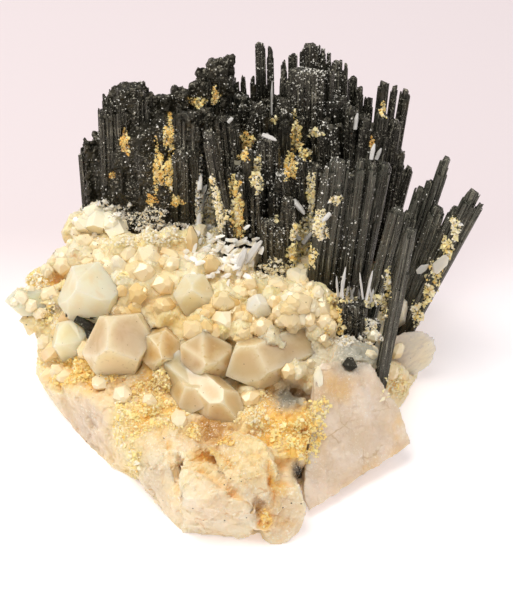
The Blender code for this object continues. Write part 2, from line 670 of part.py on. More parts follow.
def tablet(corners, thickness, swell=0.0):
    """A flat tablet: its seen outline, carried back from the eye by its thickness."""
    level = math.cos(VIEW_ELEVATION)
    away = Vector((0.0, level, -math.sin(VIEW_ELEVATION)))
    front = [seen(corner) for corner in corners]
    middle = sum(front, Vector()) / len(front)
    front = [point + (point - middle).normalized() * swell for point in front]
    back = [point.lerp(middle, TABLET_TAPER) + away * (thickness + swell) for point in front]
    front = [point - away * swell for point in front]
    return hull(front + back)


def boolean(body, others, operation):
    """Join the others to the body, or cut them from it, and return what is left as one solid."""
    group = bpy.data.collections.new("others")
    for other in others:
        group.objects.link(other)
    step = body.modifiers.new(operation.lower(), "BOOLEAN")
    step.operation = operation
    step.operand_type = "COLLECTION"
    step.collection = group
    step.solver = "EXACT"
    bpy.context.view_layer.update()
    evaluated = body.evaluated_get(bpy.context.evaluated_depsgraph_get())
    mesh = bpy.data.meshes.new_from_object(evaluated)
    for spent in [body, *others]:
        bpy.data.objects.remove(spent)
    bpy.data.collections.remove(group)
    return add_solid("solid", mesh)


def fuse(solids):
    """Grow overlapping solids into one."""
    return boolean(solids[0], solids[1:], "UNION") if len(solids) > 1 else solids[0]


def carve(body, cutters):
    """Cut sockets with swollen copies of the pieces that sit in a body."""
    return boolean(body, cutters, "DIFFERENCE")


def keep_largest(form):
    """Drop the loose splinters of a mesh."""
    unseen = set(form.faces)
    bodies = []
    while unseen:
        body, edge_of_search = [], [unseen.pop()]
        while edge_of_search:
            face = edge_of_search.pop()
            body.append(face)
            near = {other for edge in face.edges for other in edge.link_faces} & unseen
            unseen -= near
            edge_of_search += near
        bodies.append(body)
    bodies.sort(key=lambda body: sum(face.calc_area() for face in body))
    splinters = [face for body in bodies[:-1] for face in body]
    bmesh.ops.delete(form, geom=splinters, context="FACES")


def tidy(solid):
    """Weld hair-thin edges by the largest distance that leaves the surface closed."""
    for distance in WELD_DISTANCES:
        form = bmesh.new()
        form.from_mesh(solid.data)
        bmesh.ops.remove_doubles(form, verts=form.verts, dist=distance)
        bmesh.ops.dissolve_degenerate(form, edges=form.edges, dist=distance)
        bmesh.ops.dissolve_limit(
            form, angle_limit=FLAT_ANGLE, verts=form.verts, edges=form.edges
        )
        bmesh.ops.triangulate(form, faces=form.faces)
        keep_largest(form)
        closed = all(len(edge.link_faces) == 2 for edge in form.edges)
        if closed:
            form.to_mesh(solid.data)
        form.free()
        if closed:
            return


def material(finish):
    """A Principled material from a name, a colour, a roughness and a metallic value."""
    name, colour, roughness, metallic = finish
    made = bpy.data.materials.get(name) or bpy.data.materials.new(name)
    made.use_nodes = True
    surface = made.node_tree.nodes["Principled BSDF"]
    surface.inputs["Base Color"].default_value = (*colour, 1.0)
    surface.inputs["Roughness"].default_value = roughness
    surface.inputs["Metallic"].default_value = metallic
    made.diffuse_color = (*colour, 1.0)
    return made


def add_piece(name, solid, finish):
    """Finish a solid as a named piece in metres with its own material."""
    tidy(solid)
    solid.data.transform(Matrix.Scale(METRES, 4))
    solid.name = name
    solid.data.name = name
    solid.data.materials.clear()
    solid.data.materials.append(material(finish))
    return solid


def remove_start_objects():
    """Start from an empty scene."""
    for start_object in list(bpy.data.objects):
        bpy.data.objects.remove(start_object)


def quartz_makers():
    """For every separate quartz crystal, a function that makes its overlapping forms."""
    makers = {
        name: lambda swell, sizes=sizes: [seen_point(*sizes, swell)]
        for name, sizes in QUARTZ_CRYSTALS.items()
    }
    makers["quartz_crystal_pair"] = lambda swell: [seen_point(*sizes, swell) for sizes in QUARTZ_PAIR]
    makers["quartz_crystal_long"] = lambda swell: [seen_point(*QUARTZ_LONG, swell)]
    makers["quartz_slab"] = lambda swell: [slab(swell)]
    makers["quartz_block_right"] = lambda swell: [block(*RIGHT_BLOCK, swell)]
    makers["quartz_tablet_upper"] = lambda swell: [tablet(*TABLET_UPPER, swell)]
    makers["quartz_tablet_lower"] = lambda swell: [tablet(*TABLET_LOWER, swell)]
    makers["quartz_column_right"] = lambda swell: [seen_point(*COLUMN_RIGHT, swell)]
    return makers


def fan_forms(swell):
    """The columns of the central fan: the heart, the rows round it and the back."""
    made = columns(FAN_HEART, swell, first_seed=300, bladed=False)
    made += columns(FAN_MIDDLE, swell, first_seed=160)
    made += columns(FAN_BACK, swell, first_seed=140, bladed=False)
    return made + back_columns(BACK_RIGHT_COLUMNS, swell, first_seed=250)


def left_mass_forms(swell):
    """The etched group on the left with the columns that run along the back."""
    made = columns(LEFT_HEART, swell, first_seed=320, bladed=False)
    made += columns(LEFT_COLUMNS, swell, first_seed=200)
    made += left_lumps(swell, first_seed=230)
    return made + back_columns(BACK_LEFT_COLUMNS, swell, first_seed=240)


def fan_sockets(swell):
    """The room cut in the matrix for the fan."""
    rows = root_socket(FAN_HEART + FAN_MIDDLE + FAN_BACK, swell)
    return [rows, back_socket(BACK_RIGHT_COLUMNS, swell)]


def left_mass_sockets(swell):
    """The room cut in the matrix for the left mass."""
    return [root_socket(LEFT_HEART + LEFT_COLUMNS, swell), back_socket(BACK_LEFT_COLUMNS, swell)]


def matrix_sockets():
    """For every group of columns, the plainer room that is cut for it in the matrix."""
    sockets = {"huebnerite_fan": fan_sockets, "huebnerite_left_mass": left_mass_sockets}
    groups = {
        "huebnerite_front_right": FRONT_RIGHT,
        "huebnerite_front_short": FRONT_SHORT,
        "huebnerite_lower_cluster": LOWER_CLUSTER,
    }
    for name, table in groups.items():
        sockets[name] = lambda swell, table=table: [root_socket(table, swell)]
    sprays = {"huebnerite_spray_middle": SPRAY_MIDDLE, "huebnerite_spray_outer": SPRAY_OUTER}
    for name, table in sprays.items():
        sockets[name] = lambda swell, table=table: [root_socket(table, swell, SPRAY_SOCKET_RISE)]
    return sockets


def huebnerite_makers():
    """For every huebnerite piece, a function that makes its overlapping forms."""
    return {
        "huebnerite_blade_long": lambda swell: columns(BLADE_LONG, swell, first_seed=100),
        "huebnerite_blade_grooved": lambda swell: columns(BLADE_GROOVED, swell, first_seed=110),
        "huebnerite_spray_middle": lambda swell: columns(SPRAY_MIDDLE, swell, first_seed=120),
        "huebnerite_spray_outer": lambda swell: columns(SPRAY_OUTER, swell, first_seed=130),
        "huebnerite_front_right": lambda swell: columns(FRONT_RIGHT, swell, first_seed=182),
        "huebnerite_front_short": lambda swell: columns(FRONT_SHORT, swell, first_seed=180),
        "huebnerite_fan": fan_forms,
        "huebnerite_left_mass": left_mass_forms,
        "huebnerite_lower_cluster": lambda swell: columns(LOWER_CLUSTER, swell, first_seed=260),
        "huebnerite_inclusion": lambda swell: [block(*INCLUSION, swell)],
    }


FINISHES = {
    "huebnerite_blade_long": HUEBNERITE_SATIN,
    "huebnerite_blade_grooved": HUEBNERITE_SATIN,
    "quartz_crystal_tan": TAN_QUARTZ,
    "quartz_crystal_left_tip": WHITE_QUARTZ,
    "quartz_crystal_small_white": WHITE_QUARTZ,
    "quartz_slab": PALE_QUARTZ,
    "quartz_block_right": PALE_QUARTZ,
    "quartz_tablet_upper": WHITE_QUARTZ,
    "quartz_tablet_lower": WHITE_QUARTZ,
    "quartz_column_right": PALE_QUARTZ,
}


def finish_of(name):
    """The material of a piece, by its name."""
    common = HUEBNERITE if name.startswith("huebnerite") else MILKY_QUARTZ
    return FINISHES.get(name, common)


def bounds(solids):
    """The lowest and highest corner of a list of solids."""
    corners = [vertex.co for solid in solids for vertex in solid.data.vertices]
    low = Vector([min(corner[axis] for corner in corners) for axis in range(3)])
    high = Vector([max(corner[axis] for corner in corners) for axis in range(3)])
    return low, high


def touching(low_high, other):
    """True where two boxes meet."""
    (low, high), (other_low, other_high) = low_high, other
    return all(low[axis] < other_high[axis] and other_low[axis] < high[axis] for axis in range(3))


def remove_solids(solids):
    """Take helper solids out of the scene."""
    for solid in solids:
        bpy.data.objects.remove(solid)


def seated(solids, placed_makers):
    """One solid grown from its forms, with room cut for each earlier piece that it meets."""
    solid = fuse(solids)
    reach = bounds([solid])
    cutters = []
    for maker in placed_makers:
        swollen = maker(GAP)
        if touching(reach, bounds(swollen)):
            cutters += swollen
        else:
            remove_solids(swollen)
    return carve(solid, cutters) if cutters else solid


def matrix_forms():
    """The blocks, lumps and fused points that the matrix is grown from."""
    forms = [block(*sizes) for sizes in MATRIX_BLOCKS]
    forms += [seen_point(*sizes) for sizes in FUSED_POINTS]
    forms += [lump(Vector(middle), *sizes) for middle, *sizes in BACK_LUMPS]
    forms += [quartz_point(Vector(middle), *sizes) for middle, *sizes in BACK_POINTS]
    return forms


def main():
    """Build every piece: the huebnerite, the quartz crystals, and last the matrix round them."""
    remove_start_objects()
    placed_makers = {}
    for name, maker in {**huebnerite_makers(), **quartz_makers()}.items():
        add_piece(name, seated(maker(0.0), placed_makers.values()), finish_of(name))
        placed_makers[name] = maker
    placed_makers.update(matrix_sockets())
    matrix = seated(matrix_forms(), placed_makers.values())
    bpy.ops.mesh.primitive_cube_add(size=CUT_BOX, location=(0.0, 0.0, -CUT_BOX / 2))
    matrix = carve(matrix, [bpy.context.object])
    add_piece("quartz_matrix", matrix, MATRIX_QUARTZ)


main()
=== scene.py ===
"""Quartz with huebnerite: a hand specimen of milky, iron-stained quartz with sprays of black,
ridged huebnerite columns standing on its top and right side."""

import math
import random

import bmesh
import bpy
import numpy as np
from mathutils import Matrix, Vector
from mathutils.bvhtree import BVHTree


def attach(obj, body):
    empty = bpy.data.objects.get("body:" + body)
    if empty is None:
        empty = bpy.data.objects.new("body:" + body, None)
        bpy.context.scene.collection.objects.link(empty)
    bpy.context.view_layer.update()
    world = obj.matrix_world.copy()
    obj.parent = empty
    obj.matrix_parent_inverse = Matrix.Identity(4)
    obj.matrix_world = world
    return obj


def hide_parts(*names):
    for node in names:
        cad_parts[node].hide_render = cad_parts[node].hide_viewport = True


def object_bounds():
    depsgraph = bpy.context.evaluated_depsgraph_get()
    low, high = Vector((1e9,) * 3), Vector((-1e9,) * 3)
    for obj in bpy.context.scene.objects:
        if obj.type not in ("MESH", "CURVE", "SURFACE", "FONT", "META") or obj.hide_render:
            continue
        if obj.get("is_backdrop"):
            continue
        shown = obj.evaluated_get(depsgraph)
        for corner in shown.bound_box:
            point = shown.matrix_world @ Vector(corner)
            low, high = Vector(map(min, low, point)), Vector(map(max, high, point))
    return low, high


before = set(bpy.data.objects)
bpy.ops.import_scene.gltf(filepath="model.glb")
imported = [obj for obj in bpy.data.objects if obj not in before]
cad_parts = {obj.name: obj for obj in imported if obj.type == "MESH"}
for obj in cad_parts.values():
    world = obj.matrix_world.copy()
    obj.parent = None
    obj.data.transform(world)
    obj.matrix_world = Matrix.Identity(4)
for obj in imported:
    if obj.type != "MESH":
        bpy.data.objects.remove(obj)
cad_low, cad_high = (np.array(corner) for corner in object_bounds())
MM = 0.001

# The view. The specimen stands on a pale sheet of paper and is looked at from 38 degrees above it,
# 465 mm away through a long lens. Places on it are given as picture points (u to the right, v
# downwards) and a height in millimetres.
VIEW_RISE = math.radians(38.0)
LEVEL, RISE = math.cos(VIEW_RISE), math.sin(VIEW_RISE)
TOWARDS_VIEWER = np.array((0.0, -LEVEL, RISE))
AIM = np.array((0.0, -2.5, 27.7)) * MM
EYE = AIM + 465 * MM * TOWARDS_VIEWER
POINTS_PER_SLOPE = 2500.0
PICTURE_MIDDLE = (256.5, 300.0)
PICTURE_HEIGHT = 600.0
SENSOR_MM = 36.0


def sight(u, v):
    """The directions of the lines of sight: straight ahead, plus the slopes to the right and up."""
    right = (np.asarray(u, float) - PICTURE_MIDDLE[0]) / POINTS_PER_SLOPE
    up = (PICTURE_MIDDLE[1] - np.asarray(v, float)) / POINTS_PER_SLOPE
    return np.stack((right + 0 * up, up * RISE + LEVEL, up * LEVEL - RISE), axis=-1)


def seen(u, v, height_mm):
    """The points where lines of sight reach a height."""
    ray = sight(u, v)
    reach = (np.asarray(height_mm, float) * MM - EYE[2]) / ray[..., 2]
    return EYE + ray * reach[..., None]


def seen_above(u, v, foot, lean):
    """The points on lines of sight that lean back from their feet by an angle in degrees."""
    ray = sight(u, v)
    slope = np.tan(np.radians(lean))
    reach = foot[..., 1] - EYE[1] + slope * (EYE[2] - foot[..., 2])
    return EYE + ray * (reach / (ray[..., 1] - slope * ray[..., 2]))[..., None]


def in_picture(points):
    """The picture points (u, v) of points in space: their slopes from the line straight ahead."""
    away = points - EYE
    depth = away[:, 1] * LEVEL - away[:, 2] * RISE
    u = PICTURE_MIDDLE[0] + POINTS_PER_SLOPE * away[:, 0] / depth
    v = PICTURE_MIDDLE[1] - POINTS_PER_SLOPE * (away[:, 1] * RISE + away[:, 2] * LEVEL) / depth
    return u, v


def into_scene(name, data):
    """A new object in the scene."""
    made = bpy.data.objects.new(name, data)
    bpy.context.scene.collection.objects.link(made)
    return made


camera_data = bpy.data.cameras.new("camera")
camera_data.sensor_fit = "VERTICAL"
camera_data.sensor_height = SENSOR_MM
camera_data.sensor_width = SENSOR_MM
camera_data.lens = SENSOR_MM * POINTS_PER_SLOPE / PICTURE_HEIGHT
camera_data.clip_start = 0.01
camera = into_scene("camera", camera_data)
camera.location = EYE
camera.rotation_euler = (math.pi / 2 - VIEW_RISE, 0.0, 0.0)
bpy.context.scene.camera = camera
bpy.context.scene.view_settings.view_transform = "Standard"


def linear(colour):
    """The linear red, green, blue and alpha of an sRGB hex colour."""
    part = np.array([int(colour[place:place + 2], 16) / 255 for place in (1, 3, 5)])
    value = np.where(part <= 0.04045, part / 12.92, ((part + 0.055) / 1.055) ** 2.4)
    return (*value.tolist(), 1.0)


def add_node(tree, kind, settings=None, links=None):
    """Add a node, set its own properties and its sockets, and link what feeds it."""
    node = tree.nodes.new("ShaderNode" + kind)
    for name, value in (settings or {}).items():
        if isinstance(name, str) and hasattr(node, name):
            setattr(node, name, value)
    for name, value in (settings or {}).items():
        if not (isinstance(name, str) and hasattr(node, name)):
            node.inputs[name].default_value = value
    for name, source in (links or {}).items():
        tree.links.new(source, node.inputs[name])
    return node


def new_material(name):
    """A material with its node tree, its Principled surface and its Object coordinates."""
    made = bpy.data.materials.new(name)
    made.use_nodes = True
    where = add_node(made.node_tree, "TexCoord").outputs["Object"]
    return made, made.node_tree, made.node_tree.nodes["Principled BSDF"], where


def pattern_scale(size_mm):
    """The scale of a texture on Object coordinates whose features are this many millimetres wide."""
    return 1.0 / (size_mm * MM)


def two_colours(tree, factor, first, second):
    """A colour between two, by a factor. Each colour is a hex value or another node's socket."""
    mix = add_node(tree, "Mix", {"data_type": "RGBA"}, {0: factor})
    for socket, colour in ((6, first), (7, second)):
        if isinstance(colour, str):
            mix.inputs[socket].default_value = linear(colour)
        else:
            tree.links.new(colour, mix.inputs[socket])
    return mix.outputs[2]


def attribute(tree, name):
    """The value that a piece stores under a name."""
    return add_node(tree, "Attribute", {"attribute_name": name}).outputs["Fac"]


def painted(tree, body, *coats):
    """A colour with others laid over it in turn. Each coat is its factor, which is a node's socket or
    the name of a value that the piece stores, and its colour."""
    for factor, colour in coats:
        factor = attribute(tree, factor) if isinstance(factor, str) else factor
        body = two_colours(tree, factor, body, colour)
    return body


def set_values(shader, values):
    """Give sockets of a shader their plain values."""
    for name, value in values.items():
        shader.inputs[name].default_value = value


def stepped(tree, value, low, high):
    """A value spread so that low gives 0 and high gives 1, with a soft start and end."""
    spread = {"interpolation_type": "SMOOTHSTEP", "From Min": low, "From Max": high}
    return add_node(tree, "MapRange", spread, {"Value": value}).outputs["Result"]


def patches(tree, where, size_mm, low, high, **more):
    """Clouds of a size: noise, spread so that low gives 0 and high gives 1."""
    cloud = add_node(tree, "TexNoise", {"Scale": pattern_scale(size_mm), **more}, {"Vector": where})
    return stepped(tree, cloud.outputs["Fac"], low, high)


def dots(tree, where, spacing_mm, outer, inner):
    """Round dots round the middles of cells, from their soft outer edge to their full inside."""
    cells = add_node(tree, "TexVoronoi", {"Scale": pattern_scale(spacing_mm)}, {"Vector": where})
    return stepped(tree, cells.outputs["Distance"], outer, inner)


def both(tree, first, second):
    """How far two factors are both there: their product."""
    return add_node(tree, "Math", {"operation": "MULTIPLY"}, {0: first, 1: second}).outputs["Value"]


def add_mesh(name, points, faces, smooth=False):
    """Put points and triangles into a new object, kept inside the box of the solids."""
    points = np.clip(points, cad_low, cad_high)
    mesh = bpy.data.meshes.new(name)
    mesh.from_pydata(points.tolist(), [], faces.tolist())
    mesh.polygons.foreach_set("use_smooth", np.full(len(mesh.polygons), smooth))
    return into_scene(name, mesh)


def fasten(piece, slot, finish, *nodes):
    """Give a piece its material, let it ride on the specimen and stand for its solids."""
    piece.data.materials.clear()
    piece.data.materials.append(finish)
    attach(piece, "root")
    if nodes:
        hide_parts(*nodes)


# The quartz matrix. Massive milky quartz, grown together with small quartz points and stained
# yellow to orange-brown by iron in its hollows, where the browning is partly painted shade. It was
# broken from the vein at the back and the left, where its faces are smooth and pinkish white.
QUARTZ_IOR = 1.544
MATRIX_VOXEL = 0.5 * MM
MATRIX_BREAK_ANGLE = math.radians(27)
SMOOTHING_ROUNDS = 24
DEEP_HOLLOW = 0.9 * MM
CUT_HEIGHT = 0.4 * MM
# Places in the front view are rows of their middle (u, v), their reach across and down, and their
# strength. The tables follow the photograph's colours from stained to clean quartz.
STAINED_PLACES = (
    # stained yellow to orange by iron
    (88, 372, 34, 18, 1.0), (62, 372, 16, 14, 0.7), (150, 412, 36, 28, 0.75), (298, 432, 34, 30, 1.2),
    (262, 408, 22, 24, 0.5), (40, 287, 18, 8, 0.35), (338, 314, 12, 22, 0.9), (395, 384, 18, 18, 0.6),
    (266, 519, 6, 12, 0.8), (140, 252, 22, 16, 0.2), (118, 238, 16, 10, 0.1), (170, 300, 26, 12, 0.2),
    (205, 455, 16, 10, 0.6), (240, 340, 18, 16, 0.35), (276, 388, 18, 10, 0.3), (245, 460, 34, 34, 0.25),
    (282, 510, 20, 34, 0.5), (78, 262, 18, 12, 0.25), (162, 375, 22, 18, 0.6), (190, 312, 66, 34, 0.22),
    (40, 300, 34, 30, 0.45), (60, 340, 26, 20, 0.4), (215, 428, 20, 16, 0.6),
)
RUSTY_PLACES = (
    # brown with rust
    (108, 379, 14, 9, 0.7), (162, 383, 20, 15, 0.35), (208, 430, 24, 18, 1.1), (310, 436, 16, 14, 0.35),
    (286, 398, 16, 14, 0.35), (136, 318, 20, 26, 0.25), (236, 396, 8, 8, 0.3), (298, 470, 8, 9, 0.8),
    (180, 372, 10, 8, 0.5), (345, 322, 6, 12, 0.8), (88, 330, 22, 14, 0.7), (259, 509, 5, 12, 0.9),
    (216, 424, 14, 9, 0.5),
)
LEMON_PLACES = (
    # light lemon yellow
    (35, 277, 18, 13, 0.9), (150, 240, 50, 12, 0.7), (190, 430, 16, 8, 0.6), (300, 290, 40, 16, 0.5),
    (118, 426, 8, 24, 0.9), (134, 464, 9, 22, 0.9), (255, 412, 20, 22, 0.5), (230, 352, 10, 8, 0.8),
    (219, 326, 9, 6, 0.7), (60, 380, 20, 16, 0.5), (128, 268, 10, 8, 0.7), (245, 465, 24, 28, 0.45),
    (190, 312, 70, 36, 0.5), (40, 300, 40, 34, 0.5), (48, 330, 14, 20, 0.4), (270, 340, 26, 14, 0.1),
)
GREY_PLACES = (
    # grey, less milky quartz, and at (266, 334) painted shade between crystals
    (352, 350, 24, 16, 1.0), (286, 398, 14, 13, 1.0), (345, 368, 20, 8, 0.8), (372, 350, 10, 14, 0.8),
    (80, 435, 30, 36, 0.25), (150, 475, 20, 34, 0.25), (245, 465, 26, 30, 0.18), (285, 515, 18, 30, 0.3),
    (240, 372, 14, 8, 0.3), (132, 310, 10, 6, 0.5), (300, 400, 8, 8, 0.5), (266, 334, 16, 10, 0.5),
)
DARK_PLACES = (
    # nearly black: painted shade in deep hollows, and huebnerite just under the surface
    (298, 472, 6, 8, 1.3), (288, 400, 11, 11, 0.55), (90, 326, 12, 7, 1.2), (96, 232, 3, 3, 1.0),
    (56, 252, 7, 2.5, 0.9),
)
PALE_PLACES = (
    # clean, pinkish white
    (85, 430, 34, 40, 1.0), (150, 475, 24, 36, 0.4), (215, 505, 42, 34, 0.5), (240, 480, 24, 22, 0.4),
    (285, 515, 20, 30, 0.4), (15, 302, 14, 12, 0.6), (130, 396, 14, 12, 0.7), (180, 424, 10, 14, 0.8),
)
# The lower blocks, whose breaks are coarser.
BROKEN_FRONT = ((220, 500, 120, 80, 1.0), (100, 430, 60, 60, 0.7))
SEAMS = (
    # from (u, v) to (u, v), half width in picture points, height in millimetres
    (118, 412, 124, 447, 4, 0.55), (124, 447, 145, 479, 4, 0.5), (167, 439, 173, 466, 3, -0.6),
    (173, 466, 179, 501, 3, -0.7), (179, 501, 180, 524, 3, -0.5), (180, 466, 201, 469, 3, -0.6),
    (201, 469, 234, 493, 3.5, -0.8), (234, 493, 258, 511, 3.5, -0.9), (258, 511, 260, 525, 3, -0.9),
    (260, 525, 252, 538, 3, -0.7), (215, 447, 234, 469, 3, -0.45), (234, 469, 244, 490, 3, 0.45),
    (268, 458, 272, 479, 3, -0.6), (272, 479, 275, 503, 3, -0.7), (239, 444, 260, 466, 3, 0.5),
    (260, 466, 268, 490, 3, 0.4), (272, 485, 295, 483, 3, -0.5), (200, 500, 235, 516, 6, 0.35),
    (62, 400, 84, 440, 3, -0.35), (84, 440, 104, 462, 3, -0.3), (140, 420, 158, 470, 4, 0.3),
)
# The quartz that fills the seam between the two lowest blocks: its middle and radius.
SEAM_FILLING, SEAM_FILLING_RADIUS = Vector((0.7, -37.3, 5.8)) * MM, 3.4 * MM


def ridge_height(points, ridges):
    """Ridges and grooves along lines of the front view: a bell curve of the distance to each line."""
    u, v = in_picture(points)
    height = np.zeros(len(points))
    for start_u, start_v, end_u, end_v, width, rise in ridges:
        run_u, run_v = end_u - start_u, end_v - start_v
        share = ((u - start_u) * run_u + (v - start_v) * run_v) / (run_u**2 + run_v**2)
        share = np.clip(share, 0, 1)
        away = np.hypot(u - start_u - share * run_u, v - start_v - share * run_v)
        height += rise * np.exp(-((away / width) ** 2))
    return height


def cad_form(*names):
    """One mesh of several solids, with their loose triangles merged."""
    form = bmesh.new()
    for name in names:
        form.from_mesh(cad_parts[name].data)
    bmesh.ops.remove_doubles(form, verts=form.verts, dist=0.001 * MM)
    return form


def mesh_arrays(mesh):
    """The points, normals and triangles of a mesh as arrays."""
    mesh.calc_loop_triangles()
    points = np.empty(len(mesh.vertices) * 3)
    normals = np.empty(len(mesh.vertices) * 3)
    faces = np.empty(len(mesh.loop_triangles) * 3, dtype=int)
    mesh.vertices.foreach_get("co", points)
    mesh.vertex_normals.foreach_get("vector", normals)
    mesh.loop_triangles.foreach_get("vertices", faces)
    return points.reshape(-1, 3), normals.reshape(-1, 3), faces.reshape(-1, 3)


def grown_together(form, voxel):
    """The arrays of one skin round everything in a mesh, on a grid of even steps."""
    mesh = bpy.data.meshes.new("skin")
    form.to_mesh(mesh)
    form.free()
    body = into_scene("skin", mesh)
    step = body.modifiers.new("skin", "REMESH")
    step.mode = "VOXEL"
    step.voxel_size = voxel
    bpy.context.view_layer.update()
    skin = bpy.data.meshes.new_from_object(body.evaluated_get(bpy.context.evaluated_depsgraph_get()))
    bpy.data.objects.remove(body)
    return mesh_arrays(skin)


WAVE_LATTICE, CELL_LATTICE = (32, 32, 32), (16, 16, 16)


def waves(points, size_mm, seed):
    """Smooth random numbers from -1 to 1 in space: a lattice of random values blended along each
    axis with the curve 3t^2 - 2t^3."""
    lattice = np.random.default_rng(seed).uniform(-1, 1, WAVE_LATTICE)
    place = points / (size_mm * MM)
    cell = np.floor(place).astype(int)
    share = place - cell
    share = share * share * (3 - 2 * share)
    total = np.zeros(len(points))
    for corner in np.ndindex(2, 2, 2):
        near = (cell + corner) % WAVE_LATTICE
        weight = np.prod(np.where(corner, share, 1 - share), axis=1)
        total += weight * lattice[near[:, 0], near[:, 1], near[:, 2]]
    return total


def cells_around(points, size_mm, scattered):
    """The 27 cells round each point, one after the other: their numbers in the lattice, the way from
    each cell's scattered middle to the point, and its squared length."""
    place = points / (size_mm * MM)
    cell = np.floor(place).astype(int)
    for step in np.ndindex(3, 3, 3):
        around = cell + np.array(step) - 1
        near = tuple((around % CELL_LATTICE).T)
        away = place - around - scattered[near]
        yield near, away, np.sum(away**2, axis=1)


def grains(points, size_mm, seed):
    """Rounded grains in space, from 0 between them to 1 at their tops: one minus the squared
    distance to the nearest of the points that are scattered one to a cell."""
    scattered = np.random.default_rng(seed).uniform(0.1, 0.9, (*CELL_LATTICE, 3))
    nearest = np.full(len(points), np.inf)
    for _, _, distance in cells_around(points, size_mm, scattered):
        nearest = np.minimum(nearest, distance)
    return np.clip(1 - nearest / 0.5, 0, 1)


def facets(points, size_mm, seed):
    """Small flat faces with steps between them: each cell of space has a random direction, and the
    value is how far a point lies along it from the cell's middle."""
    chance = np.random.default_rng(seed)
    scattered = chance.uniform(0.05, 0.95, (*CELL_LATTICE, 3))
    slope = chance.normal(0, 1, (*CELL_LATTICE, 3))
    slope /= np.linalg.norm(slope, axis=-1, keepdims=True)
    nearest = np.full(len(points), np.inf)
    value = np.zeros(len(points))
    for near, away, distance in cells_around(points, size_mm, scattered):
        value = np.where(distance < nearest, np.sum(away * slope[near], axis=1), value)
        nearest = np.minimum(nearest, distance)
    return value


def layered(points, layers):
    """Several kinds of relief added up: each is its height times its values at its size."""
    return sum(height * kind(points, size_mm, seed) for kind, height, size_mm, seed in layers)


def neighbours_mean(points, faces, rounds):
    """Each point moved to the mean of its neighbours, several times over."""
    ends = np.concatenate((faces[:, (0, 1)], faces[:, (1, 2)], faces[:, (2, 0)]))
    count = np.bincount(ends[:, 0], minlength=len(points))[:, None]
    for _ in range(rounds):
        sums = [np.bincount(ends[:, 0], points[ends[:, 1], axis], len(points)) for axis in range(3)]
        points = np.stack(sums, axis=1) / count
    return points


def places_strength(points, places):
    """How strongly points lie in places of the front view: a bell curve round each middle."""
    u, v = in_picture(points)
    total = np.zeros(len(points))
    for middle_u, middle_v, across, down, strength in places:
        total += strength * np.exp(-(((u - middle_u) / across) ** 2 + ((v - middle_v) / down) ** 2))
    return total


def set_attribute(piece, name, values):
    """Store one number for each point of a piece, for its material to read."""
    layer = piece.data.attributes.new(name, "FLOAT", "POINT")
    layer.data.foreach_set("value", np.asarray(values, np.float32))


matrix_form = cad_form("quartz_matrix")
filling_place = Matrix.Translation(SEAM_FILLING)
bmesh.ops.create_icosphere(matrix_form, subdivisions=1, radius=SEAM_FILLING_RADIUS, matrix=filling_place)
matrix_points, matrix_normals, matrix_faces = grown_together(matrix_form, MATRIX_VOXEL)
smoothed = neighbours_mean(matrix_points, matrix_faces, SMOOTHING_ROUNDS)
hollow = np.clip(np.sum((smoothed - matrix_points) * matrix_normals, axis=1) / DEEP_HOLLOW, -1, 1)
# 1 on the sides towards the viewer and 0 on the hidden ones, which get stains and breaks of their own.
shown = np.clip(matrix_normals @ TOWARDS_VIEWER * 4 + 0.6, 0, 1)
patchy = waves(matrix_points, 7.0, 11)
unseen_stain = (1 - shown) * np.clip(patchy * 1.4 + 0.1, 0, 1) * 0.7
stain = shown * 1.5 * places_strength(matrix_points, STAINED_PLACES) + unseen_stain
# Hollows get more stain, the deepest brown rust: partly gathered iron, partly painted shade.
stain = stain * (0.75 + 0.5 * waves(matrix_points, 2.2, 12)) + np.clip(hollow, 0, 1) * 0.25
rust = shown * places_strength(matrix_points, RUSTY_PLACES)
rust = rust * (0.8 + 0.4 * waves(matrix_points, 1.8, 13)) + np.clip(hollow - 0.35, 0, 1) * 0.5
lemon = shown * places_strength(matrix_points, LEMON_PLACES) + 0.5 * np.clip(patchy - 0.55, 0, 1)
pale = shown * places_strength(matrix_points, PALE_PLACES) + (1 - shown) * np.clip(0.5 - patchy, 0, 1)
grey = shown * places_strength(matrix_points, GREY_PLACES)
dark = shown * places_strength(matrix_points, DARK_PLACES)
seams = shown * ridge_height(matrix_points, SEAMS)
stain = stain + 0.5 * np.clip(-seams, 0, 1)
on_the_cut = matrix_points[:, 2] < CUT_HEIGHT
crusted = np.clip(stain * 1.3 + rust - 0.25, 0, 1) * np.where(on_the_cut, 0, 1)
grown = layered(matrix_points, ((facets, 0.42, 3.4, 14), (facets, 0.30, 1.5, 15)))
broken = layered(matrix_points, ((facets, 1.0, 6.0, 18), (facets, 0.7, 2.6, 19)))
relief = grown * (0.8 + 0.3 * crusted) + 0.05 * waves(matrix_points, 0.8, 16)
relief += (1 - shown) * (1.1 * broken - 0.2)
relief += shown * places_strength(matrix_points, BROKEN_FRONT) * 0.55 * broken
relief += crusted * (0.45 * grains(matrix_points, 1.2, 17) - 0.14)
relief = np.where(on_the_cut, 0, relief + seams)
matrix_points = matrix_points + matrix_normals * (relief * MM)[:, None]
matrix = add_mesh("quartz_matrix_grown", matrix_points, matrix_faces, smooth=True)
matrix.data.set_sharp_from_angle(angle=MATRIX_BREAK_ANGLE)
matrix_stains = {"stain": stain, "rust": rust, "lemon": lemon, "pale": pale, "grey": grey, "dark": dark}
for name, values in matrix_stains.items():
    set_attribute(matrix, name, np.clip(values, 0, 1))


def quartz_surface(tree, surface, body, roughness, milk, depth_mm=2.4):
    """Quartz of a colour: its IOR, and light that is scattered inside milky crystal to a depth."""
    tree.links.new(body, surface.inputs["Base Color"])
    set_values(surface, {
        "IOR": QUARTZ_IOR, "Roughness": roughness, "Subsurface Weight": milk,
        "Subsurface Radius": (1.0, 0.82, 0.62), "Subsurface Scale": depth_mm * MM,
    })


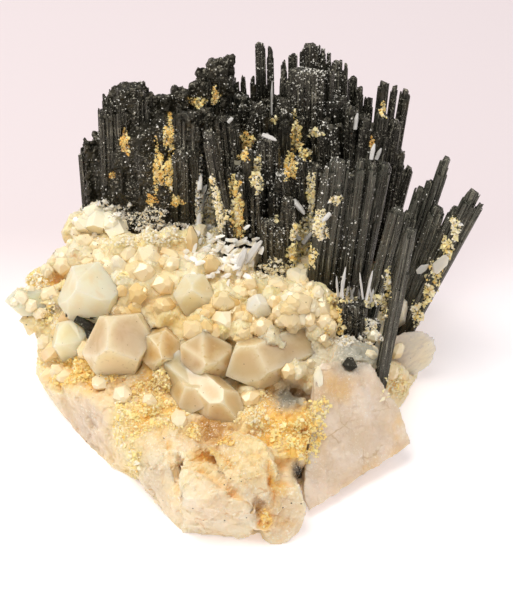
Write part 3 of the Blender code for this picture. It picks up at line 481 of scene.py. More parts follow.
def raised(tree, surface, height, strength, reach):
    """Bump by a height, on top of the relief that the surface already has."""
    parts = {"Height": height}
    if surface.inputs["Normal"].links:
        parts["Normal"] = surface.inputs["Normal"].links[0].from_socket
    bump = add_node(tree, "Bump", {"Strength": strength, "Distance": reach}, parts)
    tree.links.new(bump.outputs["Normal"], surface.inputs["Normal"])


RELIEF_DETAILS = (4.0, 2.0)


def fine_relief(tree, surface, where, sizes_mm, height_mm, strength):
    """Bump from two sizes of noise, one over the other."""
    heights = []
    for size_mm, detail in zip(sizes_mm, RELIEF_DETAILS):
        settings = {"Scale": pattern_scale(size_mm), "Detail": detail}
        heights.append(add_node(tree, "TexNoise", settings, {"Vector": where}).outputs["Fac"])
    height = add_node(tree, "Math", {"operation": "ADD"}, {0: heights[0], 1: heights[1]})
    raised(tree, surface, height.outputs["Value"], strength, height_mm * MM)


def chipped(tree, surface, where, size_mm, slope):
    """Bump of flat little faces. A face's height is the way from its cell's middle along the cell's
    own random direction."""
    cells = add_node(tree, "TexVoronoi", {"Scale": pattern_scale(size_mm)}, {"Vector": where})
    from_middle, from_grey = {"operation": "SUBTRACT"}, {"operation": "SUBTRACT", 1: (0.5, 0.5, 0.5)}
    away = add_node(tree, "VectorMath", from_middle, {0: where, 1: cells.outputs["Position"]})
    lean = add_node(tree, "VectorMath", from_grey, {0: cells.outputs["Color"]})
    parts = {0: away.outputs["Vector"], 1: lean.outputs["Vector"]}
    height = add_node(tree, "VectorMath", {"operation": "DOT_PRODUCT"}, parts).outputs["Value"]
    raised(tree, surface, height, 1.0, slope)


def cracks(tree, where, size_mm):
    """Thin healed cracks: the edges between the cells of a space that is bent by noise."""
    bend = {"Scale": pattern_scale(size_mm * 0.6), "Detail": 3.0}
    bend = add_node(tree, "TexNoise", bend, {"Vector": where})
    reach = {"operation": "SCALE", "Scale": size_mm * 0.6 * MM}
    little = add_node(tree, "VectorMath", reach, {0: bend.outputs["Color"]})
    bent = add_node(tree, "VectorMath", {"operation": "ADD"}, {0: where, 1: little.outputs["Vector"]})
    edges = {"feature": "DISTANCE_TO_EDGE", "Scale": pattern_scale(size_mm)}
    cells = add_node(tree, "TexVoronoi", edges, {"Vector": bent.outputs["Vector"]})
    line = stepped(tree, cells.outputs["Distance"], 0.022, 0.004)
    return both(tree, line, stepped(tree, bend.outputs["Fac"], 0.46, 0.66))


# Massive quartz, grown and broken: cream to pinkish white, with iron that soaked in from the
# cracks, so the hollows are orange to brown, their deepest parts partly by painted shade, and the
# broken faces are nearly clean.
matrix_quartz, tree, surface, where = new_material("massive_quartz_iron_stained")
grit = add_node(tree, "TexNoise", {"Scale": pattern_scale(0.7), "Detail": 3.0}, {"Vector": where})
uneven = {"operation": "MULTIPLY_ADD", 1: 1.1, 2: -0.25}
uneven = add_node(tree, "Math", uneven, {0: grit.outputs["Fac"]}).outputs["Value"]
soaked = attribute(tree, "stain")
for operation, other in (("ADD", uneven), ("MULTIPLY", attribute(tree, "stain"))):
    step = {"operation": operation, "use_clamp": True}
    soaked = add_node(tree, "Math", step, {0: soaked, 1: other}).outputs["Value"]
sugar = patches(tree, where, 0.4, 0.54, 0.66, Detail=4.0, Roughness=0.75)
sugar = both(tree, sugar, patches(tree, where, 5.0, 0.40, 0.60, Detail=3.0))
# The "dark" value is painted shade in deep hollows, and huebnerite under the surface.
body = painted(
    tree, "#FAE4B4", (patches(tree, where, 6.0, 0.35, 0.65, Detail=5.0, Roughness=0.6), "#FFF2D4"),
    ("pale", "#EAD3B8"), ("lemon", "#FFE79C"), (soaked, "#FFC862"), ("rust", "#BC8840"),
    ("grey", "#B9B6A6"), ("dark", "#1B1913"), (cracks(tree, where, 6.0), "#E6C08A"),
    (sugar, "#FFF9EA"), (dots(tree, where, 2.6, 0.075, 0.045), "#5A4630"),
)
quartz_surface(tree, surface, body, 0.42, 0.55)
fine_relief(tree, surface, where, (1.1, 0.35), 0.16, 0.7)
chipped(tree, surface, where, 1.5, 0.6)
chipped(tree, surface, where, 0.55, 0.35)
fasten(matrix, "quartz_iron_stained", matrix_quartz, "quartz_matrix")


# The quartz crystals. Milky six-sided crystals with low points, seated in the matrix. Their faces
# are glassy with a faint frosting, their edges are chipped very slightly, and iron dust lies on them.
SOCKET_GAP = 0.42 * MM
CRYSTAL_LIGHT_DEPTH_MM = 7.0
EDGE_CHIP = 0.3 * MM
CHIP_STEPS = 3
FLAT_ANGLE = math.radians(1.5)
CHIPPED_ANGLE = math.radians(16)
HIGHLIGHTED_EDGE_ANGLE = math.radians(30)
MOST_CORNER_REACH = 1.5
EDGE_HIGHLIGHT_WIDTH_MM = 1.7
FACE_STEP = 1.1 * MM
FACE_SPLITS = 5
STANDS_FREE = "quartz_crystal_left_tip"
CRYSTALS = {
    # node: (colour in the depth, colour at the edges and thin parts, roughness, milkiness)
    "quartz_crystal_large": ("#CFB48A", "#DCC6A0", 0.14, 0.9),
    "quartz_crystal_upper_left": ("#FCE2C0", "#FFF0D6", 0.16, 0.9),
    "quartz_crystal_lower_left": ("#FBDCAA", "#FFE9C2", 0.30, 0.9),
    "quartz_crystal_tan": ("#C49854", "#D2AC6C", 0.18, 0.8),
    "quartz_crystal_upper_middle": ("#F6DAAA", "#FBEACC", 0.16, 0.8),
    "quartz_crystal_middle": ("#C6A26A", "#D4B580", 0.14, 0.8),
    "quartz_crystal_pair": ("#D2B37E", "#DEC292", 0.14, 0.85),
    "quartz_crystal_long": ("#CDAD7C", "#DABF90", 0.14, 0.8),
    "quartz_crystal_left_tip": ("#FFE9B0", "#FFF5D0", 0.34, 0.95),
    "quartz_crystal_small_white": ("#FFEFD0", "#FFF8E8", 0.20, 0.6),
}


def edge_nearness(points, ends, width_mm):
    """1 on the nearest edge, and down to 0 at a width from it. The nearest place on an edge is at the
    part of its length that the point projects to, kept between the edge's two ends."""
    along = ends[:, 1] - ends[:, 0]
    away = points[:, None] - ends[:, 0]
    part = np.clip(np.sum(away * along, axis=2) / np.sum(along * along, axis=1), 0, 1)
    nearest = np.linalg.norm(away - part[..., None] * along, axis=2).min(axis=1)
    return np.clip(1 - nearest / (width_mm * MM), 0, 1)


def crystal_piece(node, gap, chip):
    """A crystal's solid moved outwards by the gap of its socket, with its edges chipped and its faces
    parted finely enough to store how near each point is to an edge, the mask of a painted highlight
    along the sharper edges. Also its arrays before that."""
    form = cad_form(node)
    bmesh.ops.dissolve_limit(form, angle_limit=FLAT_ANGLE, verts=form.verts, edges=form.edges)
    for vertex in form.verts:
        vertex.co += vertex.normal * gap * min(vertex.calc_shell_factor(), MOST_CORNER_REACH)
    mesh = bpy.data.meshes.new(node + "_grown")
    form.to_mesh(mesh)
    plain_points, _, plain_faces = mesh_arrays(mesh)
    sharp, highlighted_edges = (
        [edge for edge in form.edges if edge.calc_face_angle(0.0) > least]
        for least in (CHIPPED_ANGLE, HIGHLIGHTED_EDGE_ANGLE)
    )
    ends = np.array([[vertex.co for vertex in edge.verts] for edge in highlighted_edges])
    bmesh.ops.bevel(
        form, geom=sharp, offset=chip, segments=CHIP_STEPS, profile=0.5, affect="EDGES", clamp_overlap=True
    )
    for _ in range(FACE_SPLITS):
        bmesh.ops.triangulate(form, faces=form.faces)
        long_edges = [edge for edge in form.edges if edge.calc_length() > FACE_STEP]
        bmesh.ops.subdivide_edges(form, edges=long_edges, cuts=1, use_grid_fill=True)
    bmesh.ops.triangulate(form, faces=form.faces)
    form.to_mesh(mesh)
    form.free()
    piece = into_scene(node + "_grown", mesh)
    points, _, _ = mesh_arrays(mesh)
    width = EDGE_HIGHLIGHT_WIDTH_MM * (1 + 0.4 * waves(points, 3.5, 71))
    # The "rim" value is the mask of a painted highlight along the sharper edges.
    set_attribute(piece, "rim", edge_nearness(points, ends, width))
    return piece, plain_points, plain_faces


def painted_underside_glow(tree, low, high):
    """How far a face looks down: the mask of a painted glow for light coming out through the crystal."""
    normal = add_node(tree, "TexCoord").outputs["Normal"]
    normal = add_node(tree, "SeparateXYZ", {}, {"Vector": normal})
    down = add_node(tree, "Math", {"operation": "MULTIPLY", 1: -1.0}, {0: normal.outputs["Z"]})
    return stepped(tree, down.outputs["Value"], low, high)


def crystal_quartz(name, deep, thin, roughness, milk):
    """Milky crystal quartz, grown: clouded inside, with a painted highlight along its edges and a
    painted glow on its lower faces, with dusty specks and a glassy face."""
    made, tree, surface, where = new_material(name)
    body = painted(
        tree, deep, (patches(tree, where, 5.0, 0.38, 0.62, Detail=4.0, Distortion=0.6), thin),
        (stepped(tree, attribute(tree, "rim"), -0.3, 2.1), "#FFF0D0"),
        (painted_underside_glow(tree, -0.25, 0.55), "#FFEBC6"),
        (patches(tree, where, 0.9, 0.56, 0.74, Detail=5.0), thin),
        (dots(tree, where, 1.3, 0.09, 0.05), "#84663C"),
    )
    quartz_surface(tree, surface, body, roughness, milk, CRYSTAL_LIGHT_DEPTH_MM)
    surface.inputs["Transmission Weight"].default_value = 0.10
    fine_relief(tree, surface, where, (2.2, 0.5), 0.05, 0.25)
    return made


crystal_skins = {}
for node, (deep, thin, roughness, milk) in CRYSTALS.items():
    gap = 0.0 if node == STANDS_FREE else SOCKET_GAP
    crystal, points, faces = crystal_piece(node, gap, EDGE_CHIP)
    finish = crystal_quartz(node.replace("quartz", "milky_quartz"), deep, thin, roughness, milk)
    slot = "quartz_white" if node.endswith(("tip", "white")) else "quartz_milky"
    fasten(crystal, "quartz_tan" if node.endswith("tan") else slot, finish, node)
    crystal_skins[node] = (points, faces)


# The big slab at the lower right and the block behind it. Broken pinkish-white quartz: the slab's
# flat face has painted sparkles where the break runs through many small crystals, and a low ridge
# crosses it.
SLAB_VOXEL, SLAB_ROUGHNESS_MM = 0.34 * MM, 0.24
BLOCK_VOXEL, BLOCK_ROUGHNESS_MM = 0.4 * MM, 0.14
SLAB_RIDGES = (
    # from (u, v) to (u, v), half width in picture points, height in millimetres
    (348, 362, 372, 432, 7, 0.55), (330, 372, 322, 420, 6, 0.35), (372, 372, 388, 420, 6, 0.40),
    (352, 470, 396, 448, 7, 0.25),
)
SLAB_STAINS = (
    # middle (u, v), reach across and down, strength
    (365, 480, 8, 4, 0.9), (335, 390, 18, 14, 0.7), (330, 512, 16, 9, 0.9), (355, 493, 16, 9, 0.9),
    (380, 473, 16, 9, 0.9), (402, 456, 12, 10, 0.8), (322, 440, 5, 30, 0.35), (356, 380, 14, 6, 0.3),
)
SLAB_GREY = ((350, 364, 14, 9, 0.9),)


def broken_piece(node, voxel, roughness_mm, seed):
    """A solid's skin with the waves and steps of a break."""
    points, normals, faces = grown_together(cad_form(node), voxel)
    relief = roughness_mm * layered(points, (
        (waves, 1.0, 3.4, seed), (facets, 0.9, 2.6, seed + 1), (facets, 0.5, 1.1, seed + 3),
        (waves, 0.3, 0.6, seed + 2),
    ))
    relief += ridge_height(points, SLAB_RIDGES) * (node == "quartz_slab")
    return points + normals * ((relief - roughness_mm) * MM)[:, None], faces


slab_points, slab_faces = broken_piece("quartz_slab", SLAB_VOXEL, SLAB_ROUGHNESS_MM, 31)
slab = add_mesh("quartz_slab_broken", slab_points, slab_faces, smooth=True)
set_attribute(slab, "stain", np.clip(places_strength(slab_points, SLAB_STAINS), 0, 1))
set_attribute(slab, "grey", np.clip(places_strength(slab_points, SLAB_GREY), 0, 1))

# Broken pinkish-white quartz: cloudy, warm near its cracks, with painted sparkles for tiny bright cleavage
# faces.
slab_quartz, tree, surface, where = new_material("broken_quartz_pinkish_white")
painted_sparkles = patches(tree, where, 0.32, 0.56, 0.66, Detail=4.0, Roughness=0.75)
painted_sparkles = both(tree, painted_sparkles, patches(tree, where, 7.0, 0.36, 0.60, Detail=2.0))
body = painted(
    tree, "#E0CAAE", (patches(tree, where, 5.5, 0.36, 0.64, Detail=6.0, Roughness=0.6), "#EFDECA"),
    (patches(tree, where, 9.0, 0.56, 0.72, Detail=3.0), "#EFCF98"),
    (cracks(tree, where, 8.0), "#D2B894"), ("stain", "#E3BC82"), ("grey", "#A9A799"),
    (painted_sparkles, "#FBF5EA"),
)
quartz_surface(tree, surface, body, 0.34, 0.55, 1.8)
fine_relief(tree, surface, where, (0.9, 0.3), 0.16, 0.8)
chipped(tree, surface, where, 0.9, 0.4)
fasten(slab, "quartz_pinkish_white", slab_quartz, "quartz_slab")

# The block behind the slab is greyer and darker: painted shade on the specimen's right side.
block_points, block_faces = broken_piece("quartz_block_right", BLOCK_VOXEL, BLOCK_ROUGHNESS_MM, 41)
block = add_mesh("quartz_block_right_broken", block_points, block_faces, smooth=True)
block_quartz = crystal_quartz("broken_quartz_grey_painted_shade", "#C6B19E", "#DAC8B6", 0.35, 0.8)
fasten(block, "quartz_pinkish_white", block_quartz, "quartz_block_right")


# The two milky tablets that are caught in the right spray, and the small pinkish column between the
# right blades. Grown quartz with a frosted surface and sharp edges.
FROSTED = {
    # node: (slot, material, colour in the depth, colour of thin parts, roughness, milkiness, chip)
    "quartz_tablet_upper": (
        "quartz_white", "frosted_quartz_tablet_upper", "#CFC6BA", "#E4DDD4", 0.4, 0.7, 0.3 * MM,
    ),
    "quartz_tablet_lower": (
        "quartz_white", "frosted_quartz_tablet_lower", "#CFC6BA", "#E4DDD4", 0.4, 0.7, 0.3 * MM,
    ),
    "quartz_column_right": (
        "quartz_pinkish_white", "pinkish_quartz_column", "#CDBBA8", "#E6D6C8", 0.35, 0.6, 0.2 * MM,
    ),
}
for node, (slot, name, deep, thin, roughness, milk, chip) in FROSTED.items():
    frosted, _, _ = crystal_piece(node, 0.0, chip)
    fasten(frosted, slot, crystal_quartz(name, deep, thin, roughness, milk), node)


# The huebnerite. Black manganese tungstate that grew as columns of many parallel blades, so each
# column is ridged lengthwise, its end is a flight of small steps, and it shines like dull metal.
# Columns are (tip u, tip v, foot u, foot v, foot height, width, depth, lean back in degrees).
FAN_BACK = (
    (260, 43, 264, 200, 26, 2.2, 2.0, 12), (270, 47, 272, 200, 26, 1.4, 1.6, 12),
    (243, 76, 248, 200, 26, 1.1, 1.4, 12), (253, 77, 256, 200, 26, 1.1, 1.4, 11),
    (230, 79, 236, 200, 26, 3.4, 2.6, 12), (284, 61, 284, 200, 26, 1.2, 1.6, 12),
    (293, 53, 292, 200, 26, 1.6, 1.8, 12), (310, 44, 309, 200, 26, 4.0, 2.8, 12),
    (323, 49, 320, 200, 26, 1.3, 2.0, 12), (329, 53, 325, 200, 26, 1.0, 1.6, 12),
    (338, 61, 333, 202, 26, 2.8, 2.4, 12), (346, 64, 340, 203, 26, 1.1, 1.6, 12),
    (353, 76, 346, 205, 25, 1.8, 2.0, 12), (360, 87, 352, 207, 25, 1.6, 2.0, 11),
    (369, 98, 359, 210, 24, 2.0, 2.2, 11), (384, 82, 369, 212, 24, 2.3, 2.4, 12),
    (395, 87, 377, 214, 23, 1.6, 2.2, 12), (406, 90, 384, 218, 22, 2.1, 2.4, 12),
    (402, 152, 384, 240, 22, 1.9, 2.2, 8), (409, 167, 386, 252, 22, 1.9, 2.2, 7),
)
FAN_MIDDLE = (
    (307, 69, 304, 215, 26, 10.0, 4.4, 9), (258, 103, 262, 215, 27, 3.7, 3.0, 8),
    (227, 117, 238, 222, 27, 4.4, 3.4, 7), (208, 131, 230, 250, 27, 2.6, 3.6, 5),
    (247, 150, 253, 240, 27, 2.0, 3.4, 5), (268, 138, 272, 235, 27, 4.4, 3.4, 6),
    (328, 124, 322, 235, 26, 3.7, 3.0, 7), (352, 107, 345, 235, 25, 2.4, 2.6, 8),
    (366, 118, 352, 238, 24, 2.8, 2.6, 8), (382, 112, 364, 238, 24, 2.8, 2.6, 8),
    (395, 120, 376, 238, 23, 2.6, 2.6, 8), (300, 158, 303, 245, 26, 3.0, 2.8, 5),
    (318, 165, 314, 250, 26, 2.6, 2.6, 5), (285, 120, 286, 225, 26, 2.6, 2.6, 8),
    (243, 104, 249, 215, 26, 2.2, 2.4, 9), (239, 176, 243, 247, 27, 2.6, 3.2, 4),
    (257, 176, 259, 248, 27, 2.2, 3.2, 4), (283, 172, 284, 250, 26, 3.0, 3.4, 4),
    (334, 168, 327, 258, 25, 2.8, 3.4, 4),
)
FAN_HEART = (
    (246, 122, 251, 212, 26, 6.0, 7.0, 9), (268, 122, 271, 212, 26, 7.0, 7.5, 9),
    (298, 100, 299, 212, 26, 9.0, 8.0, 9), (331, 98, 328, 214, 26, 8.0, 8.0, 9),
    (356, 128, 346, 220, 24, 7.0, 8.0, 9), (378, 128, 363, 225, 24, 7.0, 7.5, 9),
    (393, 150, 376, 236, 22, 5.0, 6.0, 8), (238, 162, 243, 229, 27, 5.0, 7.0, 6),
    (262, 162, 265, 234, 26, 8.0, 9.0, 6), (292, 166, 294, 238, 26, 9.0, 10.0, 6),
    (322, 170, 317, 244, 25, 7.0, 10.0, 6), (349, 176, 340, 247, 24, 7.0, 9.0, 6),
    (374, 178, 357, 250, 22, 6.0, 9.0, 6),
)
FRONT_SHORT = ((271, 221, 271, 268, 26, 4.2, 3.2, 2), (287, 199, 286, 266, 26, 2.8, 3.0, 3))
FRONT_RIGHT = (
    (338, 160, 321, 286, 24, 4.6, 3.4, 4), (351, 178, 335, 284, 23.5, 3.2, 3.2, 4),
    (362, 160, 345, 288, 23, 1.9, 2.6, 4), (373, 163, 353, 290, 22, 2.0, 2.6, 4),
    (386, 163, 362, 280, 22, 2.4, 2.8, 5),
)
BLADE_LONG = ((398, 209, 369, 318, 20, 2.7, 2.6, 5),)
BLADE_GROOVED = ((411, 229, 382, 372, 15.5, 2.3, 2.4, 5),)
SPRAY_MIDDLE = (
    (447, 158, 391, 322, 12, 2.3, 2.6, 8), (431, 181, 385, 323, 12, 2.2, 2.6, 8),
    (421, 188, 379, 325, 12, 2.2, 2.6, 8), (409, 211, 375, 325, 12, 2.2, 2.6, 7),
)
SPRAY_OUTER = (
    (439, 207, 395, 330, 11, 2.9, 2.4, 2), (457, 207, 399, 332, 11, 2.3, 2.4, 2),
    (474, 191, 402, 335, 11, 2.8, 2.6, 2), (481, 204, 407, 337, 11, 1.5, 2.2, 2),
)
LOWER_CLUSTER = (
    (353, 304, 352, 332, 20, 4.6, 3.4, 0), (342, 299, 344, 332, 20, 2.2, 2.6, 0),
    (362, 301, 360, 334, 19, 2.2, 2.6, 0), (367, 319, 362, 338, 18.5, 2.6, 2.6, 0),
    (376, 321, 369, 343, 17, 2.4, 2.4, 0),
)
# Columns at the back are foot (x, y), foot height, length, width, depth, lean right, lean back.
BACK_RIGHT = (
    (-3.0, 30.5, 25, 24, 4.6, 4.6, 0, 10), (2.0, 31.0, 25, 23, 4.4, 4.6, 1, 11),
    (7.0, 31.0, 25, 26, 4.6, 4.6, 2, 11), (12.0, 30.5, 24, 24, 4.4, 4.6, 5, 11),
    (16.5, 29.0, 23, 23, 4.2, 4.6, 9, 11), (20.5, 26.0, 22, 20, 3.8, 4.4, 13, 10),
)
LEAST_BLADED_WIDTH = 2.8
SIDE_BLADE = 0.42
ROOT_DEPTH = 4.0 * MM
LOWER_BLADES = 0.36
CORE_BLADES = (
    # place and half size, both across and through, and how far down the blade ends, all as shares
    (0.0, 0.0, 0.42, 0.42, 0.0), (0.24, -0.10, 0.22, 0.38, 0.4), (-0.22, 0.05, 0.25, 0.42, 0.9),
)
SQUARENESS = 0.55
BLADE_CORNERS = 8
SIDE_RINGS = 6
HUEBNERITE_IOR = 2.2
RIDGE_WIDTH_MM, RIDGE_LENGTH_MM, RIDGE_HEIGHT = 0.35, 7.0, 0.16 * MM


def seen_columns(table, first_seed, bladed=True):
    """Foot, tip, width, depth and seed of each column, and of the narrower blade beside wide ones."""
    rows = []
    u, v, foot_u, foot_v, height, width, depth, lean = np.array(table, float).T
    feet = seen(foot_u, foot_v, height)
    tips = seen_above(u, v, feet, lean)
    for index, (foot, tip) in enumerate(zip(feet, tips)):
        seed, wide, deep = first_seed + index, width[index] * MM, depth[index] * MM
        chance = random.Random(seed + 500)
        rows.append((foot, tip, wide, deep, seed))
        if width[index] >= LEAST_BLADED_WIDTH and bladed:
            side = chance.choice((-1.0, 1.0))
            shift = np.array((side * wide * SIDE_BLADE, -deep * chance.uniform(0.18, 0.34), 0.0))
            shorter = tip + (foot - tip) * chance.uniform(0.07, 0.20)
            rows.append((foot + shift, shorter + shift, wide * SIDE_BLADE, deep * 0.6, seed + 250))
    return rows


def back_columns(table, first_seed):
    """Foot, tip, width, depth and seed of each column at the back."""
    rows = []
    for index, (x, y, height, length, width, depth, right, back) in enumerate(table):
        foot = np.array((x, y, height)) * MM
        rise = np.array((math.tan(math.radians(right)), math.tan(math.radians(back)), 1.0))
        tip = foot + rise / np.linalg.norm(rise) * length * MM
        rows.append((foot, tip, width * MM, depth * MM, first_seed + index))
    return rows


def column_directions(foot, tip, seed):
    """Along a column, across it and through it, with the small turn and slant that it grew with."""
    axis = (tip - foot) / np.linalg.norm(tip - foot)
    across = -np.cross(axis, TOWARDS_VIEWER)
    across /= np.linalg.norm(across)
    front = np.cross(axis, across)
    chance = random.Random(seed)
    twist = math.radians(chance.uniform(-16.0, 16.0))
    wide = across * math.cos(twist) + front * math.sin(twist)
    slant = (chance.uniform(-0.45, 0.45), chance.uniform(-0.5, 0.1))
    return axis, wide, np.cross(axis, wide), slant


def blades_in(column, pitch, step, chance):
    """The blades that make up a column: a core, two thick ones beside its middle, and narrow ones
    all round its rim, of which a third end lower down. Each row is its foot, its top, its half
    sizes across and through, and the directions along, across and through."""
    foot, tip, width, depth, seed = column
    axis, wide, deep, slant = column_directions(foot, tip, seed)
    length = np.linalg.norm(tip - foot)
    rim = max(5, round(2 * (width + depth) / (pitch * MM)))
    turn = (np.arange(rim) + chance.uniform(0, 0.7, rim)) / rim * math.tau
    sizes = chance.uniform(0.30, 0.85, (rim, 2)) * pitch * MM * 0.62
    sizes = np.minimum(sizes, (width * 0.30, depth * 0.34))
    x = np.clip(1.3 * np.cos(turn), -1, 1) * (width / 2 - sizes[:, 0] * 0.75)
    y = np.clip(1.3 * np.sin(turn), -1, 1) * (depth / 2 - sizes[:, 1] * 0.75)
    drop = step * chance.uniform(0.1, 1.0, rim)
    lower = chance.uniform(0, 1, rim) < LOWER_BLADES
    drop = np.where(lower, drop + chance.uniform(0.03, 0.55, rim), drop)
    side = chance.choice((-1, 1))
    core = np.array(CORE_BLADES)
    x = np.concatenate((x, side * width * core[:, 0]))
    y = np.concatenate((y, depth * core[:, 1]))
    sizes = np.concatenate((sizes, core[:, 2:4] * (width, depth)))
    drop = np.concatenate((drop, step * core[:, 4])) * length
    place = wide * x[:, None] + deep * y[:, None]
    feet = foot + place - axis * ROOT_DEPTH
    tops = tip + place + axis * (slant[0] * x + slant[1] * y - drop)[:, None]
    return feet, tops, sizes, np.repeat(np.stack((axis, wide, deep))[None], len(x), axis=0)


def band(low, high, corners):
    """The triangles between two rings of corners, given the number of each ring's first corner."""
    near = np.arange(corners)
    far = (near + 1) % corners
    first, second = (low + near, low + far, high + far), (low + near, high + far, high + near)
    return [np.stack(first, axis=1), np.stack(second, axis=1)]


def blade_mesh(feet, tops, sizes, turn, ragged_mm, etched, seed):
    """Points, triangles and (round, along) coordinates of many blades: a rounded rectangle whose
    every second corner is set back, carried from foot to top, and closed by a rough end."""
    chance = np.random.default_rng(seed)
    count, corners = len(feet), BLADE_CORNERS
    angle = math.tau * (np.arange(corners) + 0.5) / corners
    c, s = np.cos(angle), np.sin(angle)
    outline = np.stack((np.sign(c) * np.abs(c) ** SQUARENESS, np.sign(s) * np.abs(s) ** SQUARENESS))
    inset = chance.uniform(0.86, 1.0, (count, corners)) * np.where(np.arange(corners) % 2, 0.84, 1.0)
    share = np.linspace(0, 1, SIDE_RINGS) ** 0.8
    share = np.clip(share[None] + chance.uniform(-0.06, 0.06, (count, SIDE_RINGS)), 0, 1)
    share[:, 0], share[:, -1] = 0.0, 1.0
    girth = 1 - chance.uniform(0, 0.05 + etched, (count, SIDE_RINGS, 1))
    girth[:, -1] *= 0.93
    girth = girth * (1 - etched * chance.uniform(0, 1, (count, SIDE_RINGS, corners)))
    x = outline[0] * inset * sizes[:, :1]
    y = outline[1] * inset * sizes[:, 1:]
    spread = x[:, None, :, None] * girth[..., None] * turn[:, 1][:, None, None]
    spread = spread + y[:, None, :, None] * girth[..., None] * turn[:, 2][:, None, None]
    spine = feet[:, None] + (tops - feet)[:, None] * share[..., None]
    rings = spine[:, :, None] + spread
    rough = ragged_mm * MM * turn[:, 0][:, None]
    rings[:, -1] += chance.uniform(-1, 0.15, (count, corners, 1)) * rough
    inner = tops[:, None] + spread[:, -1] * 0.5
    inner += chance.uniform(-1, 0.6, (count, corners, 1)) * 0.7 * rough
    crown = tops[:, None] + chance.uniform(-0.5, 0.5, (count, 1, 1)) * rough
    points = np.concatenate((rings.reshape(count, -1, 3), inner, crown, feet[:, None]), axis=1)
    near = np.arange(corners)
    far = (near + 1) % corners
    faces, coordinates = [], []
    reach = np.linalg.norm(tops - feet, axis=1) / MM
    step_round = (sizes.sum(axis=1) / MM) * 4 / corners
    for ring in range(SIDE_RINGS):
        faces += band(ring * corners, (ring + 1) * corners, corners)
        bottom, top = share[:, ring], share[:, min(ring + 1, SIDE_RINGS - 1)]
        for pattern in (((0, 0), (1, 0), (1, 1)), ((0, 0), (1, 1), (0, 1))):
            round_part = [np.broadcast_to(near + side, (count, corners)) for side, _ in pattern]
            round_part = np.stack(round_part, axis=-1)
            along_part = np.stack([np.where(end, top, bottom) for _, end in pattern], -1)[:, None]
            along_part = np.broadcast_to(along_part * reach[:, None, None], round_part.shape)
            coordinates.append(np.stack((round_part * step_round[:, None, None], along_part), -1))
    last = SIDE_RINGS * corners
    crown_at, foot_at = last + corners, last + corners + 1
    faces += [
        np.stack((last + near, last + far, np.full(corners, crown_at)), 1),
        np.stack((far, near, np.full(corners, foot_at)), 1),
    ]
    for _ in range(2):
        coordinates.append(np.zeros((count, corners, 3, 2)) + chance.uniform(0, 50, (count, 1, 1, 2)))
    faces = np.concatenate(faces)
    coordinates = np.concatenate(coordinates, axis=1)
    shift = (np.arange(count) * points.shape[1])[:, None, None]
    return points.reshape(-1, 3), (faces[None] + shift).reshape(-1, 3), coordinates.reshape(-1, 2)


def column_piece(name, columns, pitch, step, ragged_mm, etched, seed, extra=()):
    """One joined mesh of all blades of some columns, with its map for the lengthwise ridges. Pitch is
    the way from blade to blade in millimetres, step how far their ends differ as a share of the
    column's length, ragged_mm how rough the ends are, and etched how much of the sides is eaten."""
    chance = np.random.default_rng(seed)
    grown = [blades_in(column, pitch, step, chance) for column in columns]
    grown += [blades_in(column, coarse, step, chance) for columns, coarse in extra for column in columns]
    feet, tops, sizes, turn = (np.concatenate(part) for part in zip(*grown))
    points, faces, coordinates = blade_mesh(feet, tops, sizes, turn, ragged_mm, etched, seed + 1)
    piece = add_mesh(name, points, faces)
    ridges = piece.data.uv_layers.new(name="ridges")
    ridges.data.foreach_set("uv", coordinates.astype(np.float32).ravel())
    return piece, points, faces


def huebnerite(name, dark, painted_sheen, shine, roughness, streak_strength, glints):
    """Huebnerite, grown: nearly black and slightly brown, with a submetallic shine. It is finely
    ridged along its length, with painted sheen on lighter streaks and thin painted highlights along
    the ridges, and white specks that are tiny quartz grains with painted glints."""
    made, tree, surface, where = new_material(name)
    along = add_node(tree, "UVMap", {"uv_map": "ridges"}).outputs["UV"]
    stretch = {"Scale": (1 / RIDGE_WIDTH_MM, 1 / RIDGE_LENGTH_MM, 1.0)}
    stretch = add_node(tree, "Mapping", stretch, {"Vector": along}).outputs["Vector"]
    streak = {"Scale": 1.0, "Detail": 4.0, "Roughness": 0.65}
    streak = add_node(tree, "TexNoise", streak, {"Vector": stretch}).outputs["Fac"]
    cloud = {"Scale": pattern_scale(3.0), "Detail": 5.0}
    cloud = add_node(tree, "TexNoise", cloud, {"Vector": where}).outputs["Fac"]
    dust_and_glint = patches(tree, where, 0.42, 0.66 - glints, 0.74 - glints, Detail=3.0, Roughness=0.7)
    dust_and_glint = both(tree, dust_and_glint, patches(tree, where, 4.0, 0.36, 0.58, Detail=2.0))
    # Painted sheen and highlights along the ridges, and specks of quartz dust with painted glints.
    body = painted(
        tree, dark, (stepped(tree, streak, 0.42, 0.58), painted_sheen),
        (stepped(tree, streak, 0.575, 0.63), "#8A8676"),
        (stepped(tree, cloud, 0.58, 0.80), "#3E3624"), (dust_and_glint, "#CFCBBA"),
    )
    tree.links.new(body, surface.inputs["Base Color"])
    set_values(surface, {
        "IOR": HUEBNERITE_IOR, "Specular IOR Level": shine, "Specular Tint": linear("#FFF6E2"),
    })
    dull = {"To Min": roughness - 0.1, "To Max": roughness + 0.15}
    dull = add_node(tree, "MapRange", dull, {"Value": cloud})
    tree.links.new(dull.outputs["Result"], surface.inputs["Roughness"])
    grain = add_node(tree, "TexNoise", {"Scale": pattern_scale(0.5), "Detail": 3.0}, {"Vector": where})
    height = {"operation": "MULTIPLY_ADD", 1: streak_strength}
    height = add_node(tree, "Math", height, {0: streak, 2: grain.outputs["Fac"]}).outputs["Value"]
    raised(tree, surface, height, 0.9, RIDGE_HEIGHT)
    return made


